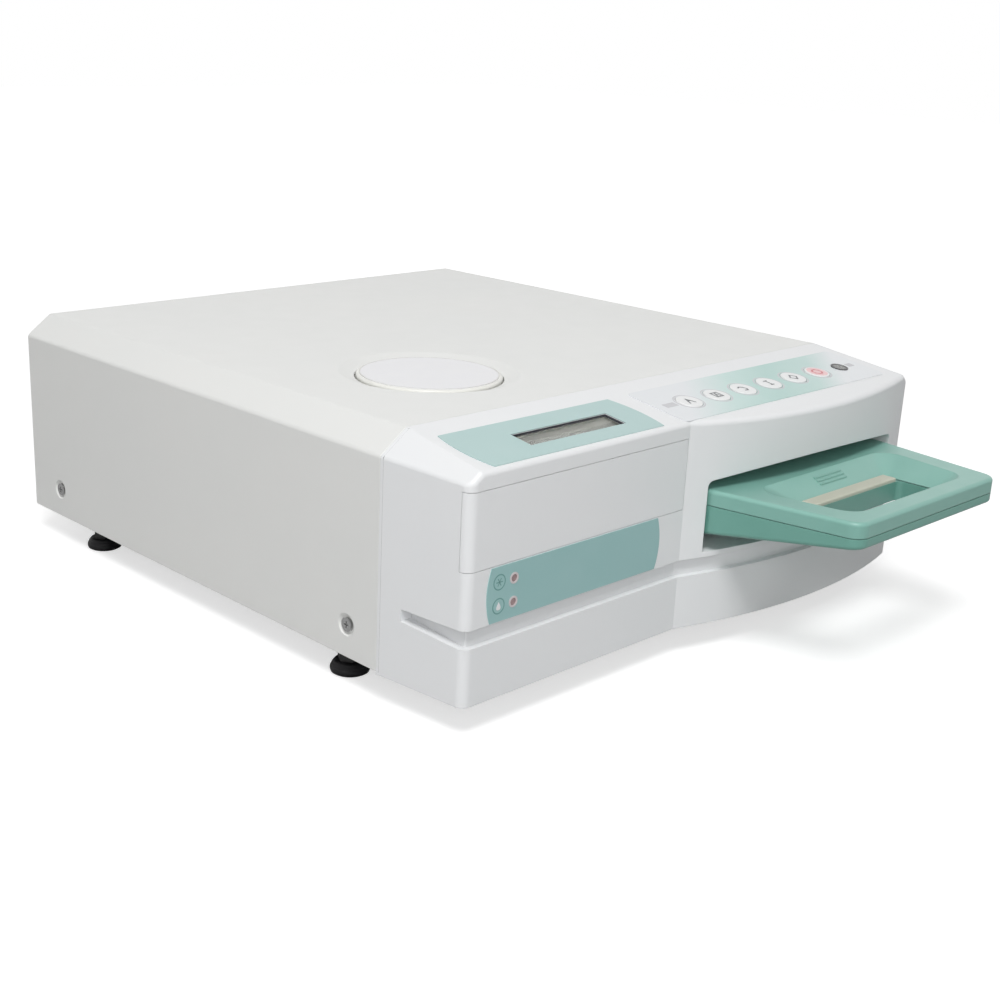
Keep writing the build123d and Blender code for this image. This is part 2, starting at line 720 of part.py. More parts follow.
# Feet: a rubber pad with a threaded stud standing in it
for corner, (x, y) in feet.items():
    with BuildPart() as pad:
        with BuildSketch():
            with Locations((x, y)):
                Circle(foot_radius)
        extrude(amount=foot_pad_height)
        fillet(pad.faces().sort_by(Axis.Z)[-1].edges(), foot_top_round)
        fillet(pad.faces().sort_by(Axis.Z)[0].edges(), foot_base_round)
        with BuildSketch(Plane.XY.offset(foot_pad_height)):
            with Locations((x, y)):
                Circle(stud_radius + stud_clearance)
        extrude(amount=-foot_socket, mode=Mode.SUBTRACT)
    save(pad, f"foot_pad_{corner}")
    with BuildPart() as stud:
        with BuildSketch(Plane.XY.offset(foot_pad_height - foot_socket)):
            with Locations((x, y)):
                Circle(stud_radius)
        extrude(amount=pan_top + boss_height - foot_pad_height + foot_socket)
        with BuildSketch(Plane.XY.offset(foot_pad_height + nut_gap)):
            with Locations((x, y)):
                RegularPolygon(nut_radius, 6)
        extrude(amount=nut_height)
    save(stud, f"foot_stud_{corner}")

# Reservoir: blow-moulded tank, filler neck, sealing ring and the round cap
tank_x = (tank_left + tank_right) / 2
tank_y = face_y + (tank_front + tank_rear) / 2
tank_size = (tank_right - tank_left, tank_rear - tank_front)
tank_inside = (tank_size[0] - 2 * tank_wall, tank_size[1] - 2 * tank_wall)
leg_spread = (tank_size[0] - 2 * tank_leg_inset, tank_size[1] - 2 * tank_leg_inset)
with BuildPart() as reservoir_tank:
    with BuildSketch(Plane.XY.offset(tank_bottom)):
        with Locations((tank_x, tank_y)):
            RectangleRounded(*tank_size, tank_corner)
    extrude(amount=tank_top - tank_bottom)
    fillet(reservoir_tank.faces().sort_by(Axis.Z)[-1].edges(), tank_corner / 2)
    with BuildSketch(Plane.XY.offset(tank_top - tank_wall)):
        with Locations((cap_x, cap_y)):
            Circle(neck_radius)
    extrude(amount=neck_top - tank_top + tank_wall)
    with BuildSketch(Plane.XY.offset(tank_bottom + tank_wall)):
        with Locations((tank_x, tank_y)):
            RectangleRounded(*tank_inside, tank_corner - tank_wall)
    extrude(amount=tank_top - tank_bottom - 2 * tank_wall, mode=Mode.SUBTRACT)
    with BuildSketch(Plane.XY.offset(tank_top - 2 * tank_wall)):
        with Locations((cap_x, cap_y)):
            Circle(neck_radius - neck_wall)
    extrude(amount=neck_top, mode=Mode.SUBTRACT)
    with BuildSketch(Plane.XY.offset(pan_top)):
        with Locations((tank_x, tank_y)):
            with GridLocations(*leg_spread, 2, 2):
                Circle(tank_leg_radius)
    extrude(amount=tank_bottom - pan_top)
save(reservoir_tank, "reservoir_tank")

with BuildPart() as cap_seal:
    with BuildSketch(Plane.XY.offset(neck_top)):
        with Locations((cap_x, cap_y)):
            Circle(neck_radius - seal_inset)
            Circle(neck_radius - neck_wall + clearance, mode=Mode.SUBTRACT)
    extrude(amount=cap_seal_height)
save(cap_seal, "cap_seal")

cap_bottom = neck_top + cap_seal_height
with BuildPart() as reservoir_cap:
    with BuildSketch(Plane.XY.offset(cap_bottom)):
        with Locations((cap_x, cap_y)):
            Circle(cap_radius)
    extrude(amount=cap_thickness)
    fillet(reservoir_cap.faces().sort_by(Axis.Z)[-1].edges(), cap_round)
    with BuildSketch(Plane.XY.offset(cap_bottom)):
        with Locations((cap_x, cap_y)):
            Circle(neck_radius - neck_wall - clearance)
            Circle(neck_radius - neck_wall - clearance - skirt_wall, mode=Mode.SUBTRACT)
    extrude(amount=-skirt_height)
save(reservoir_cap, "reservoir_cap")


def cassette_form(inset):
    """Plan of one cassette pressing, drawn in by an inset."""
    length = cassette_rear - cassette_front - 2 * inset
    with BuildSketch(mode=Mode.PRIVATE) as form:
        with Locations((opening_x, face_y + (cassette_front + cassette_rear) / 2)):
            RectangleRounded(pan_width - 2 * inset, length, cassette_corner - inset)
    return form.sketch


# Cassette: pressed tray, sealing gasket and pressed lid, each flange wider than its pan
flange_margin = (cassette_width - pan_width) / 2
with BuildPart(mode=Mode.PRIVATE) as flange_clip:
    add(side_box((opening_x - cassette_width, opening_x + cassette_width),
                 (face_y + cassette_front, face_y + cassette_rear + 2 * flange_margin), (0, body_top)))
with BuildPart() as cassette_tray:
    with BuildSketch(Plane.XY.offset(tray_bottom)):
        add(cassette_form(0))
    extrude(amount=tray_top - tray_bottom)
    fillet(cassette_tray.faces().sort_by(Axis.Z)[0].edges(), cassette_edge)
    with BuildSketch(Plane.XY.offset(tray_top - cassette_sheet)):
        add(cassette_form(-flange_margin))
    extrude(amount=cassette_sheet)
    with BuildSketch(Plane.XY.offset(tray_bottom + cassette_sheet)):
        add(cassette_form(cassette_sheet))
    extrude(amount=tray_top, mode=Mode.SUBTRACT)
    add(flange_clip.part, mode=Mode.INTERSECT)
    with BuildSketch(Plane.XZ.offset(-(face_y + cassette_rear + 1))):
        with Locations((opening_x, port_height)):
            with GridLocations(port_spacing, 1, 2, 1):
                Circle(port_radius)
    extrude(amount=2 * cassette_sheet + 1, mode=Mode.SUBTRACT)
save(cassette_tray, "cassette_tray")

with BuildPart() as cassette_gasket:
    with BuildSketch(Plane.XY.offset(tray_top)):
        add(cassette_form(gasket_inset - flange_margin))
        add(cassette_form(cassette_sheet), mode=Mode.SUBTRACT)
    extrude(amount=gasket_height)
    add(flange_clip.part, mode=Mode.INTERSECT)
save(cassette_gasket, "cassette_gasket")

with BuildPart() as cassette_lid:
    with BuildSketch(Plane.XY.offset(lid_bottom)):
        add(cassette_form(0))
    extrude(amount=lid_top - lid_bottom)
    fillet(cassette_lid.faces().sort_by(Axis.Z)[-1].edges(), cassette_edge)
    with BuildSketch(Plane.XY.offset(lid_bottom)):
        add(cassette_form(-flange_margin))
    extrude(amount=cassette_sheet)
    with BuildSketch(Plane.XY.offset(lid_bottom)):
        add(cassette_form(cassette_sheet))
    extrude(amount=lid_top - lid_bottom - cassette_sheet, mode=Mode.SUBTRACT)
    add(flange_clip.part, mode=Mode.INTERSECT)
save(cassette_lid, "cassette_lid")


def handle_plan():
    """Plan of the cassette handle, wide at the tray and narrower at the front."""
    rear_half = cassette_width / 2
    front_half = handle_front_width / 2
    with BuildSketch(mode=Mode.PRIVATE) as plan:
        with BuildLine():
            Polyline(
                (opening_x - rear_half, face_y + cassette_front),
                (opening_x - rear_half, face_y - handle_shoulder),
                (opening_x - front_half, face_y - handle_reach),
                (opening_x + front_half, face_y - handle_reach),
                (opening_x + rear_half, face_y - handle_shoulder),
                (opening_x + rear_half, face_y + cassette_front),
                close=True,
            )
        make_face()
        corners = plan.vertices().filter_by_position(Axis.Y, face_y - handle_reach - 1, face_y - 1)
        fillet(corners, handle_corner)
    return plan.sketch


# Cassette handle in two halves: the lid half is dished for the fingers, the tray half is
# the grip under it, and a pale bar lies across the back of the finger loop
loop_y = face_y + (loop_front + loop_rear) / 2
tray_loop_y = face_y + (tray_loop_front + tray_loop_rear) / 2
lid_handle_bottom = handle_seam + handle_gap / 2
tray_handle_top = handle_seam - handle_gap / 2
with BuildPart() as lid_handle:
    with BuildSketch(Plane.XY.offset(lid_handle_bottom)):
        add(handle_plan())
    extrude(amount=lid_handle_top - lid_handle_bottom)
    top_edges = lid_handle.faces().sort_by(Axis.Z)[-1].edges()
    fillet([e for e in top_edges if e.center().Y < face_y + cassette_front - 1], handle_round)
    with BuildSketch(Plane.XY.offset(lid_handle_top)) as dish_mouth:
        with BuildLine():
            Polyline(
                (opening_x - dish_rear_width / 2, face_y + dish_rear),
                (opening_x - dish_front_width / 2, face_y + dish_front),
                (opening_x + dish_front_width / 2, face_y + dish_front),
                (opening_x + dish_rear_width / 2, face_y + dish_rear),
                close=True,
            )
        make_face()
        fillet(dish_mouth.vertices(), dish_corner)
    with BuildSketch(Plane.XY.offset(lid_handle_bottom)):
        with Locations((opening_x, loop_y)):
            RectangleRounded(loop_width, loop_rear - loop_front, loop_corner)
    loft(mode=Mode.SUBTRACT)
    for depth in grip_depths:
        fall = (dish_rear - depth) / (dish_rear - loop_rear) * (lid_handle_top - lid_handle_bottom)
        with BuildSketch(Plane.YZ.offset(opening_x)):
            with Locations((face_y + depth, lid_handle_top - fall)):
                Circle(grip_radius)
        extrude(amount=grip_width / 2, both=True)
save(lid_handle, "lid_handle")

with BuildPart() as tray_handle:
    with BuildSketch(Plane.XY.offset(handle_bottom_rear)):
        add(handle_plan())
    extrude(amount=tray_handle_top - handle_bottom_rear)
    with BuildSketch(Plane.YZ.offset(opening_x)):
        with BuildLine():
            Polyline(
                (face_y, handle_bottom_rear),
                (face_y - handle_reach, handle_bottom_front),
                (face_y - 2 * handle_reach, handle_bottom_front),
                (face_y - 2 * handle_reach, 0),
                (face_y, 0),
                close=True,
            )
        make_face()
    extrude(amount=cassette_width, both=True, mode=Mode.SUBTRACT)
    low_edges = tray_handle.edges().filter_by_position(
        Axis.Z, handle_bottom_rear - 1, handle_bottom_front + 1)
    rounded = [e for e in low_edges if e.center().Y < face_y - 1 and e.length > 2 * handle_round]
    fillet(rounded, handle_round)
    with BuildSketch(Plane.XY.offset(tray_handle_top)):
        with Locations((opening_x, tray_loop_y)):
            RectangleRounded(loop_width, tray_loop_rear - tray_loop_front, loop_corner)
    extrude(amount=-tray_handle_top, mode=Mode.SUBTRACT)
save(tray_handle, "tray_handle")

with BuildPart() as handle_bar:
    with BuildSketch(Plane.XY.offset(tray_handle_top)):
        with Locations((opening_x, face_y + loop_rear - bar_gap - bar_depth / 2)):
            RectangleRounded(bar_width, bar_depth, bar_round)
    extrude(amount=bar_height)
    fillet(handle_bar.faces().sort_by(Axis.Z)[-1].edges(), bar_round)
save(handle_bar, "handle_bar")

# Wire rack lying in the tray
rack_floor = tray_bottom + cassette_sheet
rack_z = rack_floor + rack_height
rack_front = face_y + cassette_front + rack_margin
rack_rear = face_y + cassette_rear - rack_margin
rack_pitch = (rack_rear - rack_front) / (rack_bars - 1)
with BuildPart() as mesh_rack:
    with BuildSketch(Plane.XY.offset(rack_z - rack_wire)):
        with Locations((opening_x, (rack_front + rack_rear) / 2)):
            with GridLocations(rack_width / (rack_rails - 1), 1, rack_rails, 1):
                Rectangle(rack_wire, rack_rear - rack_front)
    extrude(amount=rack_wire)
    with BuildSketch(Plane.XY.offset(rack_z - rack_wire / 2)):
        with Locations((opening_x, (rack_front + rack_rear) / 2)):
            with GridLocations(1, rack_pitch, 1, rack_bars):
                Rectangle(rack_width + rack_wire, rack_wire)
    extrude(amount=rack_wire)
    with BuildSketch(Plane.XY.offset(rack_floor)):
        with Locations((opening_x, (rack_front + rack_rear) / 2)):
            with GridLocations(rack_width, rack_rear - rack_front - rack_pitch, 2, 2):
                Rectangle(rack_wire, 2 * rack_wire)
    extrude(amount=rack_height - rack_wire)
save(mesh_rack, "mesh_rack")

# Chamber: rails and floor that carry the cassette, a roof plate over it and the block at the
# back whose two probes enter the ports of the cassette
rail_inner = cassette_width / 2 + rail_side_gap
rail_outer = rail_inner + rail_thickness
rail_span = (face_y + bearer_front, face_y + bearer_rear)
with BuildPart() as lower_bearer:
    add(side_box((opening_x - rail_outer, opening_x + rail_outer), rail_span,
                 (bearer_top - rail_thickness, bearer_top)))
    for side in (-1, 1):
        edges_x = sorted((opening_x + side * rail_inner, opening_x + side * rail_outer))
        add(side_box(edges_x, rail_span, (pan_top, ceiling)))
    for x, y in feet.values():
        add(side_box((x - boss_radius, x + boss_radius), (y - boss_room, y + boss_room),
                     (pan_top, pan_top + boss_height + stud_room)), mode=Mode.SUBTRACT)
save(lower_bearer, "lower_bearer")

with BuildPart() as upper_bearer:
    add(side_box((opening_x - rail_outer, opening_x + rail_outer), rail_span,
                 (ceiling, ceiling + rail_thickness)))
save(upper_bearer, "upper_bearer")

block_front = face_y + probe_block_front
block_rear = block_front + probe_block_depth
with BuildPart() as probe_block:
    add(side_box((opening_x - probe_block_width / 2, opening_x + probe_block_width / 2),
                 (block_front, block_rear), (bearer_top, probe_block_top)))
save(probe_block, "probe_block")

with BuildPart() as steam_probes:
    with BuildSketch(Plane.XZ.offset(-block_front)):
        with Locations((opening_x, port_height)):
            with GridLocations(port_spacing, 1, 2, 1):
                Circle(probe_radius)
                Circle(probe_bore, mode=Mode.SUBTRACT)
    extrude(amount=probe_reach)
save(steam_probes, "steam_probes")

# Steam generator, supply transformer, compressor, water pump, valve and air filter
with BuildPart() as steam_generator:
    with BuildSketch(Plane.XY.offset(pan_top)):
        with Locations((generator_x, face_y + generator_depth)):
            Circle(generator_radius)
    extrude(amount=generator_height)
    fillet(steam_generator.faces().sort_by(Axis.Z)[-1].edges(), cassette_edge)
save(steam_generator, "steam_generator")


def unit_box(x, depth, size):
    """A unit standing on the base pan, centred at x and at a depth behind the flat front."""
    return side_box((x - size[0] / 2, x + size[0] / 2),
                    (face_y + depth - size[1] / 2, face_y + depth + size[1] / 2),
                    (pan_top, pan_top + size[2]))


for name, x, depth, size in (
    ("transformer", transformer_x, transformer_depth, transformer_size),
    ("compressor", compressor_x, compressor_depth, compressor_size),
    ("water_pump", pump_x, pump_depth, pump_size),
    ("solenoid_valve", valve_x, valve_depth, valve_size),
):
    with BuildPart() as unit:
        add(unit_box(x, depth, size))
        fillet(unit.edges().filter_by(Axis.Z), cassette_edge)
    save(unit, name)

with BuildPart() as air_filter:
    with BuildSketch(Plane.XZ.offset(-panel_back)):
        with Locations((filter_x, filter_z)):
            Circle(filter_radius)
    extrude(amount=filter_length)
save(air_filter, "air_filter")

# Control board on four pillars over the chamber
board_x = (board_left + board_right) / 2
board_y = face_y + (board_front + board_rear) / 2
board_size = (board_right - board_left, board_rear - board_front)
board_z = ceiling + rail_thickness + board_standoff
pillar_spread = (board_size[0] - 4 * standoff_radius, board_size[1] - 4 * standoff_radius)
with BuildPart() as control_board:
    with BuildSketch(Plane.XY.offset(board_z)):
        with Locations((board_x, board_y)):
            Rectangle(*board_size)
    extrude(amount=board_thickness)
    with BuildSketch(Plane.XY.offset(board_z)):
        with Locations((board_x, board_y)):
            with GridLocations(*pillar_spread, 2, 2):
                Circle(standoff_radius)
    extrude(amount=-board_standoff)
save(control_board, "control_board")


def tube(*corners):
    """One length of tube through a few corners, with an eased bend at each."""
    with BuildPart(mode=Mode.PRIVATE) as run:
        with BuildLine() as path:
            if len(corners) > 2:
                FilletPolyline(*corners, radius=tube_bend)
            else:
                Line(*corners)
        with BuildSketch(Plane(origin=path.line @ 0, z_dir=path.line % 0)):
            Circle(tube_radius)
            Circle(tube_bore, mode=Mode.SUBTRACT)
        sweep(path=path.line)
    return run.part


# Tubes between the units
generator_y = face_y + generator_depth
generator_top = pan_top + generator_height
steam_run_z = generator_top + steam_run_rise
valve_y = face_y + valve_depth
pump_y = face_y + pump_depth
compressor_y = face_y + compressor_depth
feed_x = generator_x + feed_shift_x
feed_y = generator_y + feed_shift_y
feed_z = generator_top + feed_run_rise
with BuildPart() as steam_tubes:
    add(tube((generator_x, generator_y, generator_top), (generator_x, generator_y, steam_run_z),
             (opening_x + port_spacing / 2, generator_y, steam_run_z),
             (opening_x + port_spacing / 2, block_rear, steam_run_z)))
    add(tube((opening_x - port_spacing / 2, block_rear, exhaust_run_z),
             (opening_x - port_spacing / 2, valve_y, exhaust_run_z),
             (valve_x, valve_y, exhaust_run_z), (valve_x, valve_y, pan_top + valve_size[2])))
    add(tube((valve_x, valve_y + valve_size[1] / 2, fitting_z),
             (fitting_x, panel_y - fitting_inside, fitting_z)))
    add(tube((pump_x, face_y + tank_rear, fitting_z), (pump_x, pump_y - pump_size[1] / 2, fitting_z)))
    add(tube((pump_x, pump_y + pump_size[1] / 2, fitting_z), (pump_x, feed_y, fitting_z),
             (pump_x, feed_y, feed_z), (feed_x, feed_y, feed_z), (feed_x, feed_y, generator_top)))
    add(tube((compressor_x, compressor_y, pan_top + compressor_size[2]),
             (compressor_x, compressor_y, filter_z), (filter_x, compressor_y, filter_z),
             (filter_x, panel_back - filter_length, filter_z)))
save(steam_tubes, "steam_tubes")

# Rear panel with its openings
inlet_at = (inlet_x, inlet_z)
switch_at = (switch_x, switch_z)
fitting_at = (fitting_x, fitting_z)
fan_at = (fan_x, fan_z)
with BuildPart() as rear_panel:
    with BuildSketch(Plane.XZ.offset(-panel_back)):
        add(cover_form(wall))
        with Locations(fan_at):
            Circle(fan_bore, mode=Mode.SUBTRACT)
        with Locations(inlet_at):
            Rectangle(inlet_body_width, inlet_body_height, mode=Mode.SUBTRACT)
        with Locations(switch_at):
            Rectangle(switch_body_width, switch_body_height, mode=Mode.SUBTRACT)
        with Locations(fitting_at):
            Circle(fitting_radius, mode=Mode.SUBTRACT)
        with Locations(*rear_screws_at):
            Circle(rear_screw_radius, mode=Mode.SUBTRACT)
    extrude(amount=-pan_thickness)
    floor_room = side_box((-body_width, body_width), (panel_back - 1, panel_y + 1), (-1, pan_top))
    add(floor_room, mode=Mode.SUBTRACT)
save(rear_panel, "rear_panel")

with BuildPart() as rear_screws:
    with BuildSketch(Plane.XZ.offset(-panel_y)):
        with Locations(*rear_screws_at):
            Circle(rear_screw_head)
    extrude(amount=-rear_screw_head_depth)
    with BuildSketch(Plane.XZ.offset(-panel_y)):
        with Locations(*rear_screws_at):
            Circle(rear_screw_radius)
    extrude(amount=2 * pan_thickness + 1)
    with BuildSketch(Plane.XZ.offset(-(panel_y + rear_screw_head_depth))):
        with Locations(*rear_screws_at):
            Rectangle(rear_screw_head, screw_slot)
            Rectangle(screw_slot, rear_screw_head)
    extrude(amount=screw_slot_depth, mode=Mode.SUBTRACT)
save(rear_screws, "rear_screws")

# Cooling fan: square frame with a fixed shaft, a bladed rotor and a wire guard outside
fan_front = panel_back - fan_depth
with BuildPart() as fan_frame:
    with BuildSketch(Plane.XZ.offset(-panel_back)):
        with Locations(fan_at):
            RectangleRounded(fan_size, fan_size, fan_corner)
            Circle(fan_bore, mode=Mode.SUBTRACT)
    extrude(amount=fan_depth)
    with BuildSketch(Plane.XZ.offset(-fan_front)):
        with Locations(fan_at):
            Circle(hub_radius)
            with PolarLocations(0, 3, start_angle=90):
                Rectangle(fan_bore + 1, strut_width, align=(Align.MIN, Align.CENTER))
    extrude(amount=-strut_depth)
    with BuildSketch(Plane.XZ.offset(-(fan_front + strut_depth))):
        with Locations(fan_at):
            Circle(shaft_radius)
    extrude(amount=-shaft_length)
save(fan_frame, "fan_frame")

hub_front = fan_front + strut_depth + hub_gap
hub_centre = Vector(fan_x, hub_front + hub_length / 2, fan_z)
blade_length = blade_tip - hub_radius + 1
with BuildPart() as fan_rotor:
    with BuildSketch(Plane.XZ.offset(-hub_front)):
        with Locations(fan_at):
            Circle(hub_radius)
    extrude(amount=-hub_length)
    for i in range(fan_blades):
        turn = radians(360 * i / fan_blades)
        radial = Vector(cos(turn), 0, sin(turn))
        across = Vector(-sin(turn), 0, cos(turn))
        facing = across * cos(radians(blade_pitch)) + Vector(0, 1, 0) * sin(radians(blade_pitch))
        blade_centre = hub_centre + radial * (blade_tip - blade_length / 2)
        with BuildSketch(Plane(origin=blade_centre, x_dir=radial, z_dir=facing)):
            RectangleRounded(blade_length, blade_chord, blade_thickness)
        extrude(amount=blade_thickness / 2, both=True)
    with BuildSketch(Plane.XZ.offset(-hub_front)):
        with Locations(fan_at):
            Circle(shaft_radius + shaft_clearance)
    extrude(amount=-shaft_length, mode=Mode.SUBTRACT)
save(fan_rotor, "fan_rotor")

guard_radii = [guard_first + guard_pitch * i for i in range(guard_rings)]
with BuildPart() as fan_guard:
    with BuildSketch(Plane.XZ.offset(-panel_y)):
        for radius in guard_radii:
            with Locations(fan_at):
                Circle(radius)
                Circle(radius - guard_wire, mode=Mode.SUBTRACT)
        for angle in (45, 135):
            with Locations(Location((fan_x, fan_z), angle)):
                Rectangle(2 * guard_radii[-1], guard_wire)
    extrude(amount=-guard_wire)
save(fan_guard, "fan_guard")

# Mains inlet with its three pins
with BuildPart() as power_inlet:
    with BuildSketch(Plane.XZ.offset(-panel_y)):
        with Locations(inlet_at):
            RectangleRounded(inlet_width, inlet_height, inlet_corner)
    extrude(amount=-inlet_flange)
    with BuildSketch(Plane.XZ.offset(-panel_y)):
        with Locations(inlet_at):
            Rectangle(inlet_body_width, inlet_body_height)
    extrude(amount=inlet_length - inlet_flange)
    with BuildSketch(Plane.XZ.offset(-(panel_y + inlet_flange))):
        with Locations(inlet_at):
            RectangleRounded(inlet_mouth_width, inlet_mouth_height, inlet_corner)
    extrude(amount=inlet_mouth, mode=Mode.SUBTRACT)
save(power_inlet, "power_inlet")

with BuildPart() as inlet_pins:
    with BuildSketch(Plane.XZ.offset(-(panel_y + inlet_flange - inlet_mouth))):
        with Locations((inlet_x - pin_spread, inlet_z - pin_drop / 2), (inlet_x, inlet_z + pin_drop / 2),
                       (inlet_x + pin_spread, inlet_z - pin_drop / 2)):
            Rectangle(pin_width, pin_height)
    extrude(amount=-pin_length)
save(inlet_pins, "inlet_pins")

# Mains switch: frame and rocker, the rocker tipped to its off side
with BuildPart() as switch_frame:
    with BuildSketch(Plane.XZ.offset(-panel_y)):
        with Locations(switch_at):
            RectangleRounded(switch_width, switch_height, switch_corner)
    extrude(amount=-switch_flange)
    with BuildSketch(Plane.XZ.offset(-panel_y)):
        with Locations(switch_at):
            Rectangle(switch_body_width, switch_body_height)
    extrude(amount=switch_depth)
    with BuildSketch(Plane.XZ.offset(-(panel_y + switch_flange))):
        with Locations(switch_at):
            Rectangle(rocker_width + 2 * rocker_gap, 2 * (rocker_radius + rocker_gap))
    extrude(amount=switch_depth - switch_flange, mode=Mode.SUBTRACT)
save(switch_frame, "switch_frame")

rocker_out = (0, cos(radians(rocker_tilt)), sin(radians(rocker_tilt)))
rocker_plane = Plane(origin=(switch_x, panel_y, switch_z), x_dir=rocker_out, z_dir=(1, 0, 0))
with BuildPart() as power_switch:
    with BuildSketch(rocker_plane):
        with BuildLine():
            Polyline(
                (-rocker_back, -rocker_radius),
                (rocker_edge, -rocker_radius),
                (rocker_dip, 0),
                (rocker_edge, rocker_radius),
                (-rocker_back, rocker_radius),
                close=True,
            )
        make_face()
        Circle(rocker_radius, mode=Mode.INTERSECT)
    extrude(amount=rocker_width / 2, both=True)
save(power_switch, "power_switch")

# Exhaust fitting with its hexagon against the panel
with BuildPart() as exhaust_fitting:
    with BuildSketch(Plane.XZ.offset(-(panel_y - fitting_inside))):
        with Locations(fitting_at):
            Circle(fitting_radius)
    extrude(amount=-(fitting_inside + rear_inset + rear_reach))
    with BuildSketch(Plane.XZ.offset(-panel_y)):
        with Locations(fitting_at):
            RegularPolygon(fitting_hex, 6)
    extrude(amount=-fitting_hex_depth)
    with BuildSketch(Plane.XZ.offset(-(panel_y - fitting_inside))):
        with Locations(fitting_at):
            Circle(fitting_bore)
    extrude(amount=-2 * (fitting_inside + rear_inset + rear_reach), mode=Mode.SUBTRACT)
save(exhaust_fitting, "exhaust_fitting")
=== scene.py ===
import bpy, bmesh
from math import cos, pi, radians, sin, tan
from mathutils import Matrix, Vector


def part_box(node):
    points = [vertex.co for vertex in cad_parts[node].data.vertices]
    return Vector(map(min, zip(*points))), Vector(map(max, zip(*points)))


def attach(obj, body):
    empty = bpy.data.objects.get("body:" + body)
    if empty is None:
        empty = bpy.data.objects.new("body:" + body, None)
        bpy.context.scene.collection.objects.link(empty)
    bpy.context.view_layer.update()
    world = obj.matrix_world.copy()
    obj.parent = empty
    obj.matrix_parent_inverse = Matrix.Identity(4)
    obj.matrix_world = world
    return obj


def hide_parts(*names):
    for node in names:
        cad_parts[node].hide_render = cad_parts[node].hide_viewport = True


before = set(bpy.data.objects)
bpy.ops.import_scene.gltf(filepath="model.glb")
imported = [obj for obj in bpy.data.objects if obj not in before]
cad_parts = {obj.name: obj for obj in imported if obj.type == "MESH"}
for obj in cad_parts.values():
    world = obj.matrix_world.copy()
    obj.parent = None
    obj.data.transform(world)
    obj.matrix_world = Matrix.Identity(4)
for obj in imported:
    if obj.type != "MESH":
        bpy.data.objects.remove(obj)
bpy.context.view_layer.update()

# Camera, set where the photograph was taken from: to the left of the machine, a little above
# its top, rolled by a touch. The frame is a square crop, so the lens is shifted.
azimuth, elevation, roll = radians(-43.699), radians(18.45), radians(2.059)
camera_place = Vector((-0.7310, -0.7006, 0.3744))
back = Vector((sin(azimuth) * cos(elevation), -cos(azimuth) * cos(elevation), sin(elevation)))
level_right = Vector((0, 0, 1)).cross(back).normalized()
level_up = back.cross(level_right)
camera_right = level_right * cos(roll) + level_up * sin(roll)
camera_up = level_up * cos(roll) - level_right * sin(roll)
camera = bpy.data.objects.new("camera", bpy.data.cameras.new("camera"))
bpy.context.collection.objects.link(camera)
turn = Matrix((camera_right, camera_up, back)).transposed().to_4x4()
camera.matrix_world = Matrix.Translation(camera_place) @ turn
camera.data.sensor_width = 36
camera.data.lens = 53.61
camera.data.shift_x = 0.0623
camera.data.shift_y = 0.0161
camera.data.clip_start = 0.01
bpy.context.scene.camera = camera
bpy.context.scene.view_settings.view_transform = "Standard"

# Studio: a pale floor and a white surround. One large soft lamp stands high in front and
# lights the top most; two weaker ones, beside the camera and behind, light the sides.
world = bpy.data.worlds.new("surround")
bpy.context.scene.world = world
world.use_nodes = True
nodes, links = world.node_tree.nodes, world.node_tree.links
surround = nodes["Background"]
# the surround looks white, also through glass and in reflections, but gives far less light
rays = nodes.new("ShaderNodeLightPath")
seen = nodes.new("ShaderNodeMath")
seen.operation = "MAXIMUM"
links.new(rays.outputs["Is Camera Ray"], seen.inputs[0])
links.new(rays.outputs["Is Transmission Ray"], seen.inputs[1])
mirrored = nodes.new("ShaderNodeMath")
mirrored.operation = "MAXIMUM"
links.new(seen.outputs[0], mirrored.inputs[0])
links.new(rays.outputs["Is Glossy Ray"], mirrored.inputs[1])
level = nodes.new("ShaderNodeMapRange")
level.inputs["To Min"].default_value = 0.22
level.inputs["To Max"].default_value = 1.0
links.new(mirrored.outputs[0], level.inputs["Value"])
links.new(level.outputs["Result"], surround.inputs["Strength"])
surround.inputs["Color"].default_value = (1, 1, 1, 1)


def soft_lamp(name, place, width, energy, in_reflections):
    """A square lamp facing the machine, which glossy surfaces mirror or not."""
    lamp = bpy.data.objects.new(name, bpy.data.lights.new(name, "AREA"))
    lamp.data.shape = "RECTANGLE"
    lamp.data.size = width
    lamp.data.size_y = width
    lamp.data.energy = energy
    lamp.location = place
    lamp.rotation_euler = (-place).to_track_quat("-Z", "Y").to_euler()
    lamp.visible_glossy = in_reflections
    bpy.context.collection.objects.link(lamp)


soft_lamp("overhead", Vector((-1.25, -1.05, 2.73)), width=1.1, energy=62, in_reflections=True)
soft_lamp("fill", Vector((-1.70, -1.80, 0.98)), width=1.2, energy=16.5, in_reflections=False)
soft_lamp("back_fill", Vector((1.70, 1.90, 1.15)), width=1.2, energy=13, in_reflections=False)

floor_mesh = bpy.data.meshes.new("floor")
reach = 6.0
floor_corners = [(-reach, -reach, 0), (reach, -reach, 0), (reach, reach, 0), (-reach, reach, 0)]
floor_mesh.from_pydata(floor_corners, [], [(0, 1, 2, 3)])
floor = bpy.data.objects.new("floor", floor_mesh)
bpy.context.collection.objects.link(floor)
floor_paper = bpy.data.materials.new("floor_paper")
floor_paper.use_nodes = True
nodes, links = floor_paper.node_tree.nodes, floor_paper.node_tree.links
paper = nodes["Principled BSDF"]
paper.inputs["Base Color"].default_value = (0.55, 0.55, 0.55, 1)
paper.inputs["Roughness"].default_value = 0.9
paper.inputs["Specular IOR Level"].default_value = 0.1
